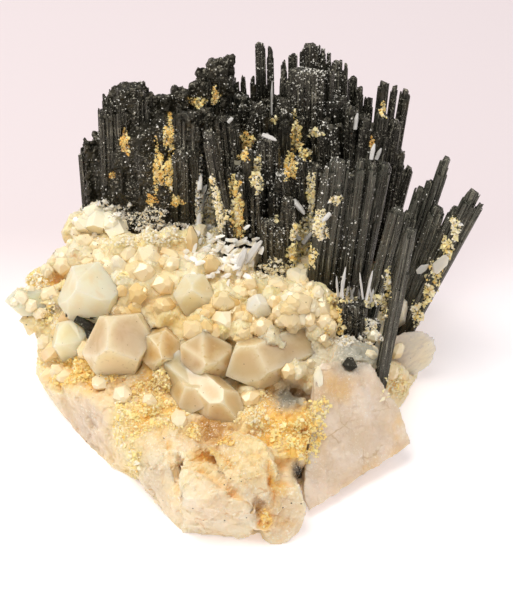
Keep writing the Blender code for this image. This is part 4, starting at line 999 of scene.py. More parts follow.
# The second colour of each is the painted sheen on its ridges.
dusted = huebnerite("huebnerite_submetallic_dusted", "#060705", "#2C2D27", 0.24, 0.22, 2.6, 0.08)
etched = huebnerite("huebnerite_etched", "#080806", "#26241A", 0.15, 0.30, 0.0, 0.08)
satin = huebnerite("huebnerite_satin", "#0A0C0A", "#444840", 0.28, 0.22, 2.6, 0.03)

fan_columns = seen_columns(FAN_MIDDLE, 160) + seen_columns(FAN_BACK, 140, bladed=False)
fan_coarse = ((seen_columns(FAN_HEART, 300, bladed=False), 2.6), (back_columns(BACK_RIGHT, 250), 1.8))
fan, fan_points, fan_faces = column_piece(
    "fan_of_columns", fan_columns, 1.5, 0.07, 0.6, 0.03, 51, fan_coarse
)
fasten(fan, "huebnerite_black", dusted, "huebnerite_fan")


def etched_skin(node, voxel, along, seed):
    """A solid's skin eaten away by solution: ribs along its columns, lumps, and pits between them."""
    points, normals, faces = grown_together(cad_form(node), voxel)
    across = points - np.outer(points @ along, along)
    ribbed = across + np.outer(points @ along, along) * 0.14
    relief = layered(ribbed, ((waves, 0.50, 1.15, seed), (waves, 0.34, 2.4, seed + 1)))
    relief += layered(points, (
        (waves, 0.55, 3.6, seed + 2), (grains, 0.55, 1.5, seed + 3), (facets, 0.28, 1.0, seed + 4),
    ))
    relief -= 0.9 * np.clip(waves(points, 2.0, seed + 5) - 0.3, 0, 1)
    return points + normals * ((relief - 0.42) * MM)[:, None], faces


LEFT_VOXEL = 0.42 * MM
LEFT_GROWTH = np.array((-0.02, 0.13, 1.0)) / math.hypot(0.02, 0.13, 1.0)
left_points, left_faces = etched_skin("huebnerite_left_mass", LEFT_VOXEL, LEFT_GROWTH, 81)
left = add_mesh("left_mass_etched", left_points, left_faces)
fasten(left, "huebnerite_black", etched, "huebnerite_left_mass")
STRIATED = (
    (127, 92, 131, 205, 27, 8.8, 6.2, 8), (112, 98, 116, 190, 27, 3.0, 5.6, 8),
    (106, 138, 108, 200, 27, 5.6, 4.0, 5), (88, 150, 92, 200, 27, 3.4, 3.6, 5),
    (186, 112, 188, 222, 27, 4.2, 3.6, 6), (203, 109, 205, 210, 27, 3.8, 3.2, 7),
    (180, 150, 181, 226, 27, 2.8, 3.2, 3), (192, 148, 193, 224, 27, 2.6, 3.2, 3),
    (224, 67, 221, 200, 27, 3.6, 3.2, 10), (212, 74, 211, 200, 27, 3.2, 3.0, 10),
)
striated, striated_points, striated_faces = column_piece(
    "left_mass_striated", seen_columns(STRIATED, 600), 0.9, 0.05, 0.5, 0.06, 66
)
fasten(striated, "huebnerite_black", dusted)
GROWN_GROUPS = (
    # piece, node, columns, first seed, pitch, step, roughness of the ends, seed, material
    ("front_right_columns", "huebnerite_front_right", FRONT_RIGHT, 182, 1.4, 0.08, 0.45, 71, satin),
    ("front_short_columns", "huebnerite_front_short", FRONT_SHORT, 180, 1.3, 0.06, 0.45, 72, dusted),
    ("spray_middle_columns", "huebnerite_spray_middle", SPRAY_MIDDLE, 120, 1.4, 0.14, 0.5, 73, satin),
    ("spray_outer_columns", "huebnerite_spray_outer", SPRAY_OUTER, 130, 1.4, 0.08, 0.5, 74, satin),
    ("lower_cluster_columns", "huebnerite_lower_cluster", LOWER_CLUSTER, 260, 1.1, 0.25, 0.5, 75, dusted),
    ("long_blade", "huebnerite_blade_long", BLADE_LONG, 100, 1.6, 0.03, 0.4, 76, satin),
    ("grooved_blade", "huebnerite_blade_grooved", BLADE_GROOVED, 110, 1.2, 0.04, 0.4, 77, satin),
)
GROUPS_ETCHED = 0.02
black_parts = [(fan_points, fan_faces), (left_points, left_faces), (striated_points, striated_faces)]
for name, node, table, first_seed, pitch, step, ragged_mm, seed, finish in GROWN_GROUPS:
    columns = seen_columns(table, first_seed)
    piece, *skin = column_piece(name, columns, pitch, step, ragged_mm, GROUPS_ETCHED, seed)
    fasten(piece, "huebnerite_satin" if "blade" in node else "huebnerite_black", finish, node)
    black_parts.append(skin)
INCLUSION_CHIP = 0.1 * MM
inclusion, _, _ = crystal_piece("huebnerite_inclusion", 0.0, INCLUSION_CHIP)
fasten(inclusion, "huebnerite_black", etched, "huebnerite_inclusion")


# The small quartz points. Hundreds of milky to clear points one to five millimetres across, grown
# on the matrix between the big crystals. Each has six sides and a low, uneven tip.
SMALL_POINTS = (
    # u, v, width in picture points, length to width, lean right, lean up, tint (0 white to 1 tan)
    (138, 293, 25, 0.9, -5, 5, 0.85), (122, 290, 15, 0.8, 10, 10, 0.75), (146, 273, 28, 0.9, 30, 10, 0.5),
    (171, 264, 21, 0.9, 0, 20, 0.35), (192, 236, 15, 2.2, 3, 60, 0.65), (164, 284, 25, 0.8, 15, 15, 0.55),
    (165, 316, 28, 0.8, 0, 0, 0.6), (133, 309, 18, 0.8, -20, 0, 0.9), (224, 300, 27, 0.9, 10, 25, 0.6),
    (225, 321, 22, 0.9, 35, -10, 0.25), (197, 331, 34, 0.7, 10, 10, 0.65),
    (243, 337, 20, 0.8, 15, 0, 0.8), (273, 300, 17, 0.9, 0, 20, 0.5), (289, 309, 22, 0.8, 10, 0, 0.75),
    (298, 322, 22, 0.9, 30, -10, 0.6), (303, 350, 20, 0.8, 20, -10, 0.15), (266, 328, 18, 0.8, 0, 0, 0.9),
    (246, 318, 18, 0.8, -10, 10, 0.8), (212, 352, 20, 0.7, 0, 0, 0.6), (252, 290, 15, 0.9, 0, 30, 0.2),
    (240, 283, 17, 1.0, -15, 40, 0.15), (230, 268, 16, 1.2, 10, 40, 0.2),
    (216, 262, 15, 1.2, -25, 30, 0.1), (281, 287, 17, 0.8, 10, 30, 0.1), (300, 288, 18, 0.8, 0, 30, 0.2),
    (318, 291, 16, 0.8, 10, 30, 0.3), (274, 318, 16, 0.8, 5, 0, 0.5), (118, 266, 22, 0.8, -20, 20, 0.4),
    (100, 254, 24, 0.8, -10, 30, 0.25), (128, 252, 20, 0.8, 0, 30, 0.3),
    (150, 250, 22, 0.8, 10, 30, 0.25), (62, 262, 26, 0.8, -20, 20, 0.3), (48, 296, 24, 0.8, -10, 0, 0.3),
    (38, 312, 18, 0.8, -20, -5, 0.3), (88, 218, 26, 0.8, -15, 40, 0.1), (112, 222, 20, 0.8, 10, 40, 0.05),
    (94, 210, 24, 0.8, -5, 40, 0.02), (108, 213, 22, 0.8, 5, 40, 0.04), (124, 224, 20, 0.8, 15, 40, 0.1),
    (80, 222, 22, 0.8, -25, 30, 0.1), (20, 298, 18, 0.8, -20, 0, 0.15), (30, 306, 16, 0.8, -10, -10, 0.2),
    (14, 302, 13, 0.9, -40, 0, 0.1), (28, 290, 14, 0.8, -10, 20, 0.2), (46, 270, 18, 0.8, -20, 20, 0.25),
    (305, 300, 25, 0.7, 0, 30, 0.2), (318, 308, 22, 0.7, 15, 25, 0.2), (300, 316, 20, 0.8, -10, 15, 0.25),
    (326, 321, 19, 0.8, 20, 10, 0.4), (311, 322, 19, 0.8, 5, 10, 0.2), (290, 298, 20, 0.7, -10, 25, 0.15),
    (75, 232, 15, 1.4, -35, 40, 0.2), (122, 396, 23, 0.9, -5, -15, 0.25),
    (150, 402, 18, 0.8, 0, -10, 0.4), (180, 423, 18, 1.1, 10, -30, 0.2),
    (216, 402, 20, 0.9, 25, -20, 0.3), (196, 396, 20, 0.8, 0, -10, 0.5),
    (268, 352, 22, 0.9, 40, -10, 0.45), (252, 372, 18, 0.8, 10, -10, 0.6),
    (250, 400, 22, 0.9, 0, -20, 0.6), (290, 372, 20, 0.8, 20, 0, 0.6), (76, 342, 20, 0.8, -15, -5, 0.3),
    (44, 342, 20, 0.8, -25, -10, 0.2), (56, 372, 18, 0.8, -25, -10, 0.35),
    (372, 333, 17, 0.9, 0, 20, 0.1), (371, 355, 15, 0.9, 10, 10, 0.2), (392, 372, 20, 0.8, 15, 0, 0.5),
    (398, 348, 16, 1.2, 10, 30, 0.3), (318, 375, 11, 2.6, -6, 72, 0.0),
)
POINT_COUNT = 300
POINT_WIDTH = 2.5 * MM
GOLDEN_PLACES = (
    # middle (u, v), reach across and down, how much more iron
    (100, 225, 60, 26, -0.3), (190, 305, 90, 44, 0.7), (302, 315, 34, 22, 0.1), (335, 312, 12, 18, 0.5),
    (260, 390, 40, 24, 0.4), (40, 300, 36, 34, 0.4), (62, 350, 30, 24, 0.5),
)


UPPER_TIER = ((215, 300, 100, 36, 0.5), (300, 312, 40, 26, 0.8), (80, 262, 36, 18, 0.6))
LOWER_TIER = ((235, 378, 30, 12, 0.3), (60, 345, 34, 34, 0.3))
POINT_SIDES = 6
POINT_LEVELS = (
    # height, width, share of the uneven lean: foot, under and over the shoulder, and the flat end
    (-1.0, 0.92, 0.0), (-0.08, 1.0, 0.0), (0.04, 0.92, 0.0), (0.44, 0.42, 1.0), (0.5, 0.3, 1.0),
)


def quartz_point(seed):
    """A six-sided point: corners of uneven reach, a blunt shoulder and a small flat end."""
    chance = np.random.default_rng(seed)
    turn = math.tau * np.arange(POINT_SIDES) / POINT_SIDES
    reach = chance.uniform(0.86, 1.08, POINT_SIDES)
    corner = np.stack((np.cos(turn), np.sin(turn)), axis=1) * reach[:, None]
    off_centre = chance.uniform(-0.22, 0.22, 2)
    rings = [
        np.column_stack((corner * size + off_centre * shift, np.full(POINT_SIDES, height)))
        for height, size, shift in POINT_LEVELS
    ]
    last = POINT_SIDES * (len(POINT_LEVELS) - 1)
    inner = range(1, POINT_SIDES - 1)
    faces = [np.array([(0, k + 1, k) for k in inner] + [(last, last + k, last + k + 1) for k in inner])]
    for low in range(0, last, POINT_SIDES):
        faces += band(low, low + POINT_SIDES, POINT_SIDES)
    return np.concatenate(rings), np.concatenate(faces)


def scatter(name, shape, places, axes, rolls, sizes, tints=None):
    """Copies of a shape in one mesh. Each is scaled across, through and along, rolled about its own
    axis, turned to its axis and put in its place, and each stores its tint and, as "depth", a painted
    shade towards its foot."""
    form, faces = shape
    axes = axes / np.linalg.norm(axes, axis=1, keepdims=True)
    side = np.cross(axes, TOWARDS_VIEWER)
    side = side / np.maximum(np.linalg.norm(side, axis=1, keepdims=True), 1e-6)
    front = np.cross(axes, side)
    c, s = np.cos(rolls)[:, None], np.sin(rolls)[:, None]
    points = places[:, None]
    for part, direction in enumerate((side * c + front * s, front * c - side * s, axes)):
        points = points + (form[:, part] * sizes[:, part:part + 1])[..., None] * direction[:, None]
    shift = (np.arange(len(places)) * len(form))[:, None, None]
    piece = add_mesh(name, points.reshape(-1, 3), (faces[None] + shift).reshape(-1, 3))
    if tints is not None:
        set_attribute(piece, "tint", np.repeat(tints, len(form)))
        # Painted shade towards each copy's foot, stronger with more iron, stored as "depth".
        painted_foot_shade = np.tile(np.clip(0.3 - form[:, 2], 0, 1), len(places))
        set_attribute(piece, "depth", painted_foot_shade * np.clip(0.25 + 1.3 * np.repeat(tints, len(form)), 0, 1))
    return piece


def joined(name, pieces):
    """Several meshes made into one object."""
    form = bmesh.new()
    for piece in pieces:
        form.from_mesh(piece.data)
        bpy.data.objects.remove(piece)
    mesh = bpy.data.meshes.new(name)
    form.to_mesh(mesh)
    form.free()
    return into_scene(name, mesh)


def where_seen(skin, u, v):
    """Where lines of sight meet a skin: the points, the outward directions and which ones do."""
    rays = sight(u, v)
    hits = [skin.ray_cast(Vector(EYE), Vector(ray)) for ray in rays]
    met = np.array([hit[0] is not None for hit in hits])
    places = np.array([hit[0] or (0, 0, 0) for hit in hits], float).reshape(-1, 3)
    outward = np.array([hit[1] or (0, 0, 1) for hit in hits], float).reshape(-1, 3)
    outward *= np.where(np.sum(outward * rays, axis=1, keepdims=True) > 0, -1, 1)
    return places, outward, met


def spread_over(points, faces, count, seed, weigh=None):
    """Random points on a skin, evenly by area or by a weight of the face middles and directions."""
    chance = np.random.default_rng(seed)
    corners = points[faces]
    normal = np.cross(corners[:, 1] - corners[:, 0], corners[:, 2] - corners[:, 0])
    area = np.linalg.norm(normal, axis=1)
    outward = normal / np.maximum(area, 1e-15)[:, None]
    weight = area if weigh is None else area * weigh(corners.mean(axis=1), outward)
    pick = chance.choice(len(faces), count, p=weight / weight.sum())
    share = np.sort(chance.uniform(0, 1, (count, 2)), axis=1)
    share = np.stack((share[:, 0], share[:, 1] - share[:, 0], 1 - share[:, 1]), axis=1)
    return np.einsum("nk,nkj->nj", share, corners[pick]), outward[pick]


def one_skin(parts):
    """The points and triangles of several skins as one, and the tree that finds where they are met."""
    starts = np.cumsum([0] + [len(points) for points, _ in parts])
    points = np.concatenate([points for points, _ in parts])
    faces = np.concatenate([faces + start for (_, faces), start in zip(parts, starts)])
    return points, faces, BVHTree.FromPolygons(points.tolist(), faces.tolist())


ACROSS_VIEW, UP_VIEW = np.array((1.0, 0.0, 0.0)), np.array((0.0, RISE, LEVEL))
MM_PER_PICTURE_POINT = 0.186
outer_parts = [(matrix_points, matrix_faces), (slab_points, slab_faces), (block_points, block_faces)]
outer_parts += [crystal_skins[STANDS_FREE]] + black_parts
_, _, outer_skin = one_skin(outer_parts)
table = np.array(SMALL_POINTS)
places, outward, met = where_seen(outer_skin, table[:, 0], table[:, 1])
width = table[:, 2] * MM_PER_PICTURE_POINT * MM / 2
lean_right, lean_up = np.radians(table[:, 4]), np.radians(table[:, 5])
axes = TOWARDS_VIEWER + ACROSS_VIEW * np.tan(lean_right)[:, None] + UP_VIEW * np.tan(lean_up)[:, None]
chance = np.random.default_rng(91)
sizes = np.stack((width, width * chance.uniform(0.8, 1.0, len(width)), width * table[:, 3] * 1.3), axis=1)
rolls = chance.uniform(0, math.tau, len(width))
kinds = [quartz_point(seed) for seed in range(400, 406)]
pieces = []
for kind, shape in enumerate(kinds):
    chosen = met & (np.arange(len(met)) % len(kinds) == kind)
    parts = (places[chosen], axes[chosen], rolls[chosen], sizes[chosen], table[chosen, 6])
    pieces.append(scatter(f"points_{kind}", shape, *parts))


def upper_tier(middles, directions):
    """Where small points grow: thickly between the big crystals, thinly on the hidden sides."""
    tier = places_strength(middles, UPPER_TIER) + places_strength(middles, LOWER_TIER)
    seen_side = np.clip(directions @ TOWARDS_VIEWER * 3, 0, 1)
    patchy = np.clip(waves(middles, 6.0, 21) - 0.15, 0, 1)
    behind = np.clip(middles[:, 1] / (8 * MM), 0, 1)
    return seen_side * np.clip(tier, 0, 1) + (1 - seen_side) * patchy * behind * 0.5 + 1e-9


grown_at, growing = spread_over(matrix_points, matrix_faces, POINT_COUNT, 92, upper_tier)
growing = growing + 0.5 * TOWARDS_VIEWER + chance.normal(0, 0.35, growing.shape)
width = chance.uniform(0.42, 1.0, POINT_COUNT) * POINT_WIDTH
sizes = [width * chance.uniform(low, high, POINT_COUNT) for low, high in ((0.75, 1.0), (1.1, 1.9))]
sizes = np.stack((width, *sizes), axis=1)
tints = 0.22 + places_strength(grown_at, GOLDEN_PLACES) + 0.25 * waves(grown_at, 5.0, 22)
tints = np.clip(tints + chance.normal(0, 0.12, POINT_COUNT), 0, 1)
for kind, shape in enumerate(kinds):
    chosen = np.arange(POINT_COUNT) % len(kinds) == kind
    parts = (grown_at[chosen], growing[chosen], chance.uniform(0, 6, chosen.sum()))
    pieces.append(scatter(f"more_points_{kind}", shape, *parts, sizes[chosen], tints[chosen]))
small_points = joined("small_quartz_points", pieces)

# Milky quartz in small points, grown: glassy, cream to tan by the iron in it, with painted shade
# towards the foot, stronger where there is more iron, and a painted glow on the lower faces, where
# the light comes out.
point_quartz, tree, surface, where = new_material("small_milky_quartz_points")
body = painted(
    tree, "#FFF6DC", ("tint", "#E9C880"),
    (patches(tree, where, 1.6, 0.5, 0.95, Detail=4.0), "#FBE9BC"),
    (stepped(tree, attribute(tree, "depth"), 0.1, 1.9), "#E0AE58"),
    (painted_underside_glow(tree, -0.1, 1.2), "#FFE9B4"), (dots(tree, where, 1.7, 0.085, 0.05), "#7A5A34"),
)
quartz_surface(tree, surface, body, 0.13, 0.3, 0.4)
fine_relief(tree, surface, where, (1.0, 0.3), 0.04, 0.25)
fasten(small_points, "quartz_milky", point_quartz)


# The iron crust. Grains of limonite-stained quartz, a third to one millimetre wide, that fill the
# valleys between the black columns and the hollows of the matrix.
CRUST_PLACES = (
    # middle (u, v), reach across and down, tint (0 white to 1 brown), grain in millimetres
    (247, 141, 6, 9, 0.62, 0.36), (244, 156, 5, 5, 0.62, 0.34), (257, 176, 5, 17, 0.36, 0.34),
    (234, 185, 5, 9, 0.56, 0.36), (238, 218, 6, 23, 0.62, 0.38), (213, 218, 9, 33, 0.28, 0.36),
    (296, 136, 5, 19, 0.52, 0.36), (290, 167, 6, 12, 0.60, 0.36), (306, 155, 6, 6, 0.44, 0.34),
    (311, 194, 4, 22, 0.30, 0.34), (320, 226, 7, 15, 0.26, 0.36), (301, 250, 11, 20, 0.48, 0.40),
    (336, 200, 6, 5, 0.26, 0.34), (274, 120, 4, 3, 0.42, 0.34), (315, 133, 7, 4, 0.30, 0.34),
    (383, 111, 3, 7, 0.55, 0.34), (372, 143, 2, 6, 0.72, 0.30), (276, 219, 2, 4, 0.42, 0.30),
    (125, 142, 4, 11, 0.66, 0.34), (169, 135, 5, 16, 0.60, 0.36), (158, 168, 5, 22, 0.58, 0.36),
    (169, 172, 4, 18, 0.58, 0.36), (152, 200, 6, 4, 0.68, 0.36), (177, 201, 6, 5, 0.64, 0.36),
    (112, 175, 3, 3, 0.66, 0.32), (198, 102, 8, 5, 0.50, 0.36), (215, 96, 3, 9, 0.64, 0.32),
    (200, 203, 4, 34, 0.06, 0.34), (149, 217, 18, 9, 0.10, 0.30), (455, 228, 4, 12, 0.30, 0.50),
    (447, 248, 5, 14, 0.40, 0.50), (437, 272, 5, 14, 0.48, 0.50), (428, 292, 5, 13, 0.42, 0.50),
    (417, 314, 5, 12, 0.34, 0.50), (388, 282, 3, 16, 0.40, 0.36), (384, 308, 3, 14, 0.30, 0.36),
    (345, 297, 11, 7, 0.36, 0.40), (372, 300, 8, 7, 0.36, 0.38), (300, 435, 26, 22, 0.50, 0.44),
    (318, 410, 12, 12, 0.48, 0.42), (152, 412, 32, 22, 0.46, 0.40), (88, 372, 30, 14, 0.56, 0.40),
    (60, 368, 16, 14, 0.42, 0.40), (226, 441, 8, 4, 0.70, 0.34), (194, 432, 6, 8, 0.52, 0.34),
    (119, 425, 5, 23, 0.36, 0.40), (134, 463, 6, 18, 0.36, 0.40), (256, 414, 16, 20, 0.34, 0.44),
    (165, 382, 17, 12, 0.42, 0.40), (396, 385, 12, 15, 0.34, 0.44), (343, 341, 13, 6, 0.10, 0.40),
    (371, 333, 9, 12, 0.14, 0.40), (306, 302, 26, 10, 0.26, 0.50), (333, 318, 9, 17, 0.55, 0.44),
    (142, 240, 46, 7, 0.18, 0.50), (165, 227, 34, 5, 0.08, 0.46), (118, 213, 14, 8, 0.06, 0.46),
    (206, 212, 7, 16, 0.12, 0.36), (222, 216, 5, 12, 0.30, 0.36), (100, 210, 18, 8, 0.10, 0.50),
    (33, 279, 16, 11, 0.22, 0.45), (50, 316, 8, 12, 0.34, 0.45), (180, 358, 10, 8, 0.45, 0.40),
    (128, 272, 12, 6, 0.36, 0.44), (266, 519, 4, 8, 0.60, 0.38), (270, 272, 22, 10, 0.24, 0.44),
    (300, 233, 8, 12, 0.40, 0.50), (298, 256, 8, 11, 0.52, 0.48), (309, 254, 7, 12, 0.44, 0.48),
    (312, 222, 5, 10, 0.30, 0.42), (289, 268, 7, 5, 0.34, 0.44), (236, 214, 4, 18, 0.34, 0.38),
)
CRUST_COVER = 2.1
GRAIN_SHARE = 0.66
WIDE_PLACE = 10
TINT_SPREAD_WIDE, TINT_SPREAD_NARROW = 0.08, 0.14
LARGE_GRAINS, LARGE_GRAIN = 0.16, 1.8
octahedron = np.concatenate((np.eye(3), -np.eye(3)))
octahedron_faces = np.array([
    (0, 1, 2), (1, 3, 2), (3, 4, 2), (4, 0, 2), (1, 0, 5), (3, 1, 5), (4, 3, 5), (0, 4, 5),
])
grain_shapes = []
for seed in range(5):
    chance = np.random.default_rng(seed)
    corners = octahedron * chance.uniform(0.75, 1.25, (6, 1)) + chance.normal(0, 0.16, (6, 3))
    grain_shapes.append((corners, octahedron_faces))
chance = np.random.default_rng(93)
u, v, tint, grain = [], [], [], []
for middle_u, middle_v, across, down, colour, size in CRUST_PLACES:
    area = math.pi * across * down * MM_PER_PICTURE_POINT**2
    size = size * GRAIN_SHARE
    cover, spread = 2 * CRUST_COVER, TINT_SPREAD_NARROW
    if across > WIDE_PLACE:
        cover, spread = CRUST_COVER, TINT_SPREAD_WIDE
    count = int(cover * area / (math.pi * (size * 0.8) ** 2)) + 6
    turn, reach = chance.uniform(0, math.tau, count), np.sqrt(chance.uniform(0, 1.1, count))
    ragged = 1 + 0.25 * np.sin(turn * 3 + middle_u) + 0.2 * np.sin(turn * 5 + middle_v)
    u.append(middle_u + across * reach * ragged * np.cos(turn))
    v.append(middle_v + down * reach * ragged * np.sin(turn))
    tint.append(np.clip(colour + chance.normal(0, spread, count), 0, 1))
    large = np.where(chance.uniform(0, 1, count) < LARGE_GRAINS, LARGE_GRAIN, 1.0)
    grain.append(size * large * chance.uniform(0.55, 1.25, count) * MM)
u, v, tint, grain = (np.concatenate(part) for part in (u, v, tint, grain))
places, outward, met = where_seen(outer_skin, u, v)
places = places + outward * (grain * chance.uniform(-0.9, 0.5, len(grain)))[:, None]
sizes = grain[:, None] * chance.uniform(0.7, 1.25, (len(grain), 3))
pieces = []
for kind, shape in enumerate(grain_shapes):
    chosen = met & (np.arange(len(met)) % len(grain_shapes) == kind)
    parts = (places[chosen], chance.normal(0, 1, (chosen.sum(), 3)), chance.uniform(0, 6, chosen.sum()))
    pieces.append(scatter(f"grains_{kind}", shape, *parts, sizes[chosen], tint[chosen]))
crust = joined("iron_crust_grains", pieces)

# Limonite-stained quartz grains: white and cream to gold, orange and brown by their iron.
crust_quartz, tree, surface, where = new_material("iron_stained_quartz_grains")
ramp = add_node(tree, "ValToRGB", {}, {"Fac": attribute(tree, "tint")})
stops = ramp.color_ramp.elements
for place, colour in (
    (0.0, "#FFFDF6"), (0.28, "#FFF4D2"), (0.48, "#FFEFA6"), (0.68, "#FFD272"), (0.95, "#D4923E"),
):
    stop = stops[0] if place == 0.0 else stops.new(place)
    stop.color = linear(colour)
stops.remove(stops[len(stops) - 1])
cloud = patches(tree, where, 0.8, 0.5, 0.72, Detail=3.0)
body = two_colours(tree, cloud, ramp.outputs["Color"], "#F8DCA0")
quartz_surface(tree, surface, body, 0.35, 0.2, 0.3)
fine_relief(tree, surface, where, (0.6, 0.25), 0.05, 0.4)
fasten(crust, "quartz_iron_stained", crust_quartz)


# Small bits of huebnerite that show between the quartz crystals: a wedge between the big ones, and
# the rays of the star in the slab's top.
BLACK_BITS = (
    # foot (u, v), tip (u, v), width in picture points
    (63, 313, 84, 320, 6), (90, 317, 113, 315, 5), (66, 314, 108, 319, 8), (76, 318, 98, 332, 12),
    (84, 320, 93, 346, 9), (86, 324, 104, 320, 8), (94, 233, 99, 230, 4), (49, 255, 63, 249, 3),
    (350, 365, 341, 359, 5), (350, 365, 359, 360, 5), (350, 365, 358, 371, 5), (350, 365, 343, 372, 5),
    (350, 365, 350, 356, 5), (350, 365, 351, 374, 4), (298, 478, 297, 464, 9), (302, 476, 304, 466, 6),
)


def seen_points(name, rows, skin, shape, forwards, lifted_mm):
    """Points that lie from foot to tip as they are seen, leaning towards the viewer."""
    table = np.array(rows)
    feet, outward, met = where_seen(skin, table[:, 0], table[:, 1])
    run = table[:, 2:4] - table[:, :2]
    ahead = ACROSS_VIEW * run[:, :1] - UP_VIEW * run[:, 1:]
    length = np.linalg.norm(ahead, axis=1) * MM_PER_PICTURE_POINT * MM
    ahead = ahead / np.linalg.norm(ahead, axis=1, keepdims=True) + forwards * TOWARDS_VIEWER
    width = table[:, 4] * MM_PER_PICTURE_POINT * MM / 2
    sizes = np.stack((width, width * 0.8, length / 1.5), axis=1)
    middles = feet + ahead * (length * 0.66)[:, None] + TOWARDS_VIEWER * lifted_mm * MM
    return scatter(name, shape, middles, ahead, np.zeros(len(length)), sizes)


_, _, crystal_skin = one_skin(outer_parts + list(crystal_skins.values()))
bits = seen_points("huebnerite_bits", BLACK_BITS, crystal_skin, quartz_point(413), 0.05, -0.3)
fasten(bits, "huebnerite_black", etched)


# The sparkling dust on the black columns. Quartz grains of a tenth to half a millimetre that grew on
# their ridges and ends, thickly in the middle of the fan. The finest dust would not show, so it is
# drawn coarser.
DUST_COUNT = 32000
DUST_SIZE = 0.25 * MM
DUSTED = (
    # middle (u, v), reach across and down, strength
    (265, 185, 56, 80, 1.0), (305, 74, 32, 12, 1.6), (306, 105, 30, 34, 1.7), (300, 60, 60, 24, 0.7),
    (352, 318, 16, 22, 1.2), (338, 225, 28, 70, 1.0), (140, 150, 60, 70, 0.6),
)


def dusted_places(middles, directions):
    """Where the dust lies: in the fan's middle and on faces that look up, and in patches."""
    up = np.clip(directions[:, 2], 0, 1)
    patchy = np.clip(0.35 + waves(middles, 2.5, 23), 0, 1)
    front = 0.35 + np.clip(directions @ TOWARDS_VIEWER, 0, 1)
    return (0.10 + places_strength(middles, DUSTED)) * patchy * (0.45 + 2.4 * up) * front


black_points, black_faces, _ = one_skin(black_parts)
dust_at, dust_out = spread_over(black_points, black_faces, DUST_COUNT, 94, dusted_places)
turn = math.tau * np.arange(3) / 3
bipyramid = np.stack((np.cos(turn), np.sin(turn), np.zeros(3)), axis=1)
bipyramid = np.concatenate((bipyramid, ((0, 0, 1.0), (0, 0, -1.0))))
bipyramid_faces = np.array([(0, 1, 3), (1, 2, 3), (2, 0, 3), (1, 0, 4), (2, 1, 4), (0, 2, 4)])
chance = np.random.default_rng(95)
sizes = chance.uniform(0.28, 1.0, (DUST_COUNT, 1)) ** 2 * DUST_SIZE
sizes = sizes * chance.uniform(0.7, 1.3, (DUST_COUNT, 3))
dust = scatter(
    "quartz_dust_on_columns", (bipyramid, bipyramid_faces), dust_at + dust_out * 0.03 * MM,
    chance.normal(0, 1, (DUST_COUNT, 3)), chance.uniform(0, 6, DUST_COUNT), sizes
)

# Clear quartz in grains too small to look clear: white to greyish, with glassy faces.
dust_quartz, tree, surface, where = new_material("clear_quartz_dust")
cloud = add_node(tree, "TexNoise", {"Scale": pattern_scale(2.0), "Detail": 2.0}, {"Vector": where})
quartz_surface(tree, surface, two_colours(tree, cloud.outputs["Fac"], "#FFFFFC", "#DAD6C8"), 0.2, 0.0)
fasten(dust, "quartz_white", dust_quartz)


# The needles and platelets. Clear quartz needles stand at the fan's right foot, and white, finely
# ridged platelets lie over each other at its left foot. A few clear bits hang in the fan itself.
CLEAR_BITS = (
    # foot (u, v), tip (u, v), width in picture points
    (341, 298, 345, 267, 3.6), (338, 297, 336, 276, 2.6), (346, 299, 350, 274, 2.6),
    (360, 296, 352, 276, 3.0), (358, 299, 365, 274, 3.4), (366, 301, 372, 270, 3.0),
    (353, 300, 348, 282, 2.6), (370, 303, 375, 284, 2.6), (343, 299, 341, 280, 2.4),
    (363, 300, 359, 272, 2.4), (350, 300, 355, 284, 2.4), (372, 302, 368, 282, 2.4),
    (272, 116, 272, 80, 2.6), (293, 200, 305, 215, 6), (262, 135, 277, 141, 5), (266, 134, 274, 143, 4),
    (228, 123, 233, 118, 4), (355, 130, 357, 113, 4.5), (371, 160, 374, 144, 4.5),
    (376, 160, 381, 148, 4), (300, 240, 292, 232, 6), (303, 244, 312, 232, 6), (330, 213, 322, 222, 5),
    (246, 262, 262, 240, 8), (238, 270, 246, 248, 9),
)
PLATELETS_SEEN = (
    # middle (u, v), length and width in picture points, turn in degrees from level
    (214, 240, 24, 7, 28), (222, 250, 26, 8, 20), (205, 248, 18, 7, 40), (212, 256, 22, 7, 12),
    (226, 262, 20, 7, -25), (202, 262, 18, 7, 15), (218, 268, 20, 7, -10), (232, 246, 20, 8, 45),
    (242, 242, 28, 8, 18), (248, 250, 26, 7, 5), (238, 256, 18, 8, 60), (198, 234, 16, 6, 60),
    (208, 228, 16, 6, 35), (228, 275, 18, 7, 30), (240, 270, 16, 8, 70), (252, 262, 14, 7, 80),
    (200, 180, 26, 7, 85), (202, 200, 28, 8, 80), (199, 218, 24, 8, 88), (205, 188, 18, 6, 70),
    (212, 276, 16, 6, 5), (196, 254, 14, 6, 55), (250, 278, 18, 8, -30), (222, 236, 16, 5, 15),
)
LOOSE_PLATELETS = 70
needles = seen_points("clear_quartz_needles", CLEAR_BITS, outer_skin, quartz_point(411), 0.35, 0.6)
chance = np.random.default_rng(96)
loose = [chance.normal(middle, spread, LOOSE_PLATELETS) for middle, spread in ((226, 17), (255, 13))]
loose += [chance.uniform(low, high, LOOSE_PLATELETS) for low, high in ((8, 16), (3.5, 6.5), (-40, 80))]
loose = np.column_stack(loose)
table = np.concatenate((np.array(PLATELETS_SEEN, float) * (1, 1, 0.8, 0.8, 1), loose))
middles, outward, met = where_seen(outer_skin, table[:, 0], table[:, 1])
turn = np.radians(table[:, 4])
ahead = ACROSS_VIEW * np.cos(turn)[:, None] + UP_VIEW * np.sin(turn)[:, None] + 0.2 * TOWARDS_VIEWER
length, width = (table[:, column] * MM_PER_PICTURE_POINT * MM / 2 for column in (2, 3))
sizes = np.stack((width * 0.35, width, length), axis=1)
platelets = scatter(
    "white_quartz_platelets", quartz_point(412), middles + TOWARDS_VIEWER * 0.9 * MM, ahead,
    chance.uniform(-0.4, 0.4, len(turn)) + math.pi / 2, sizes
)

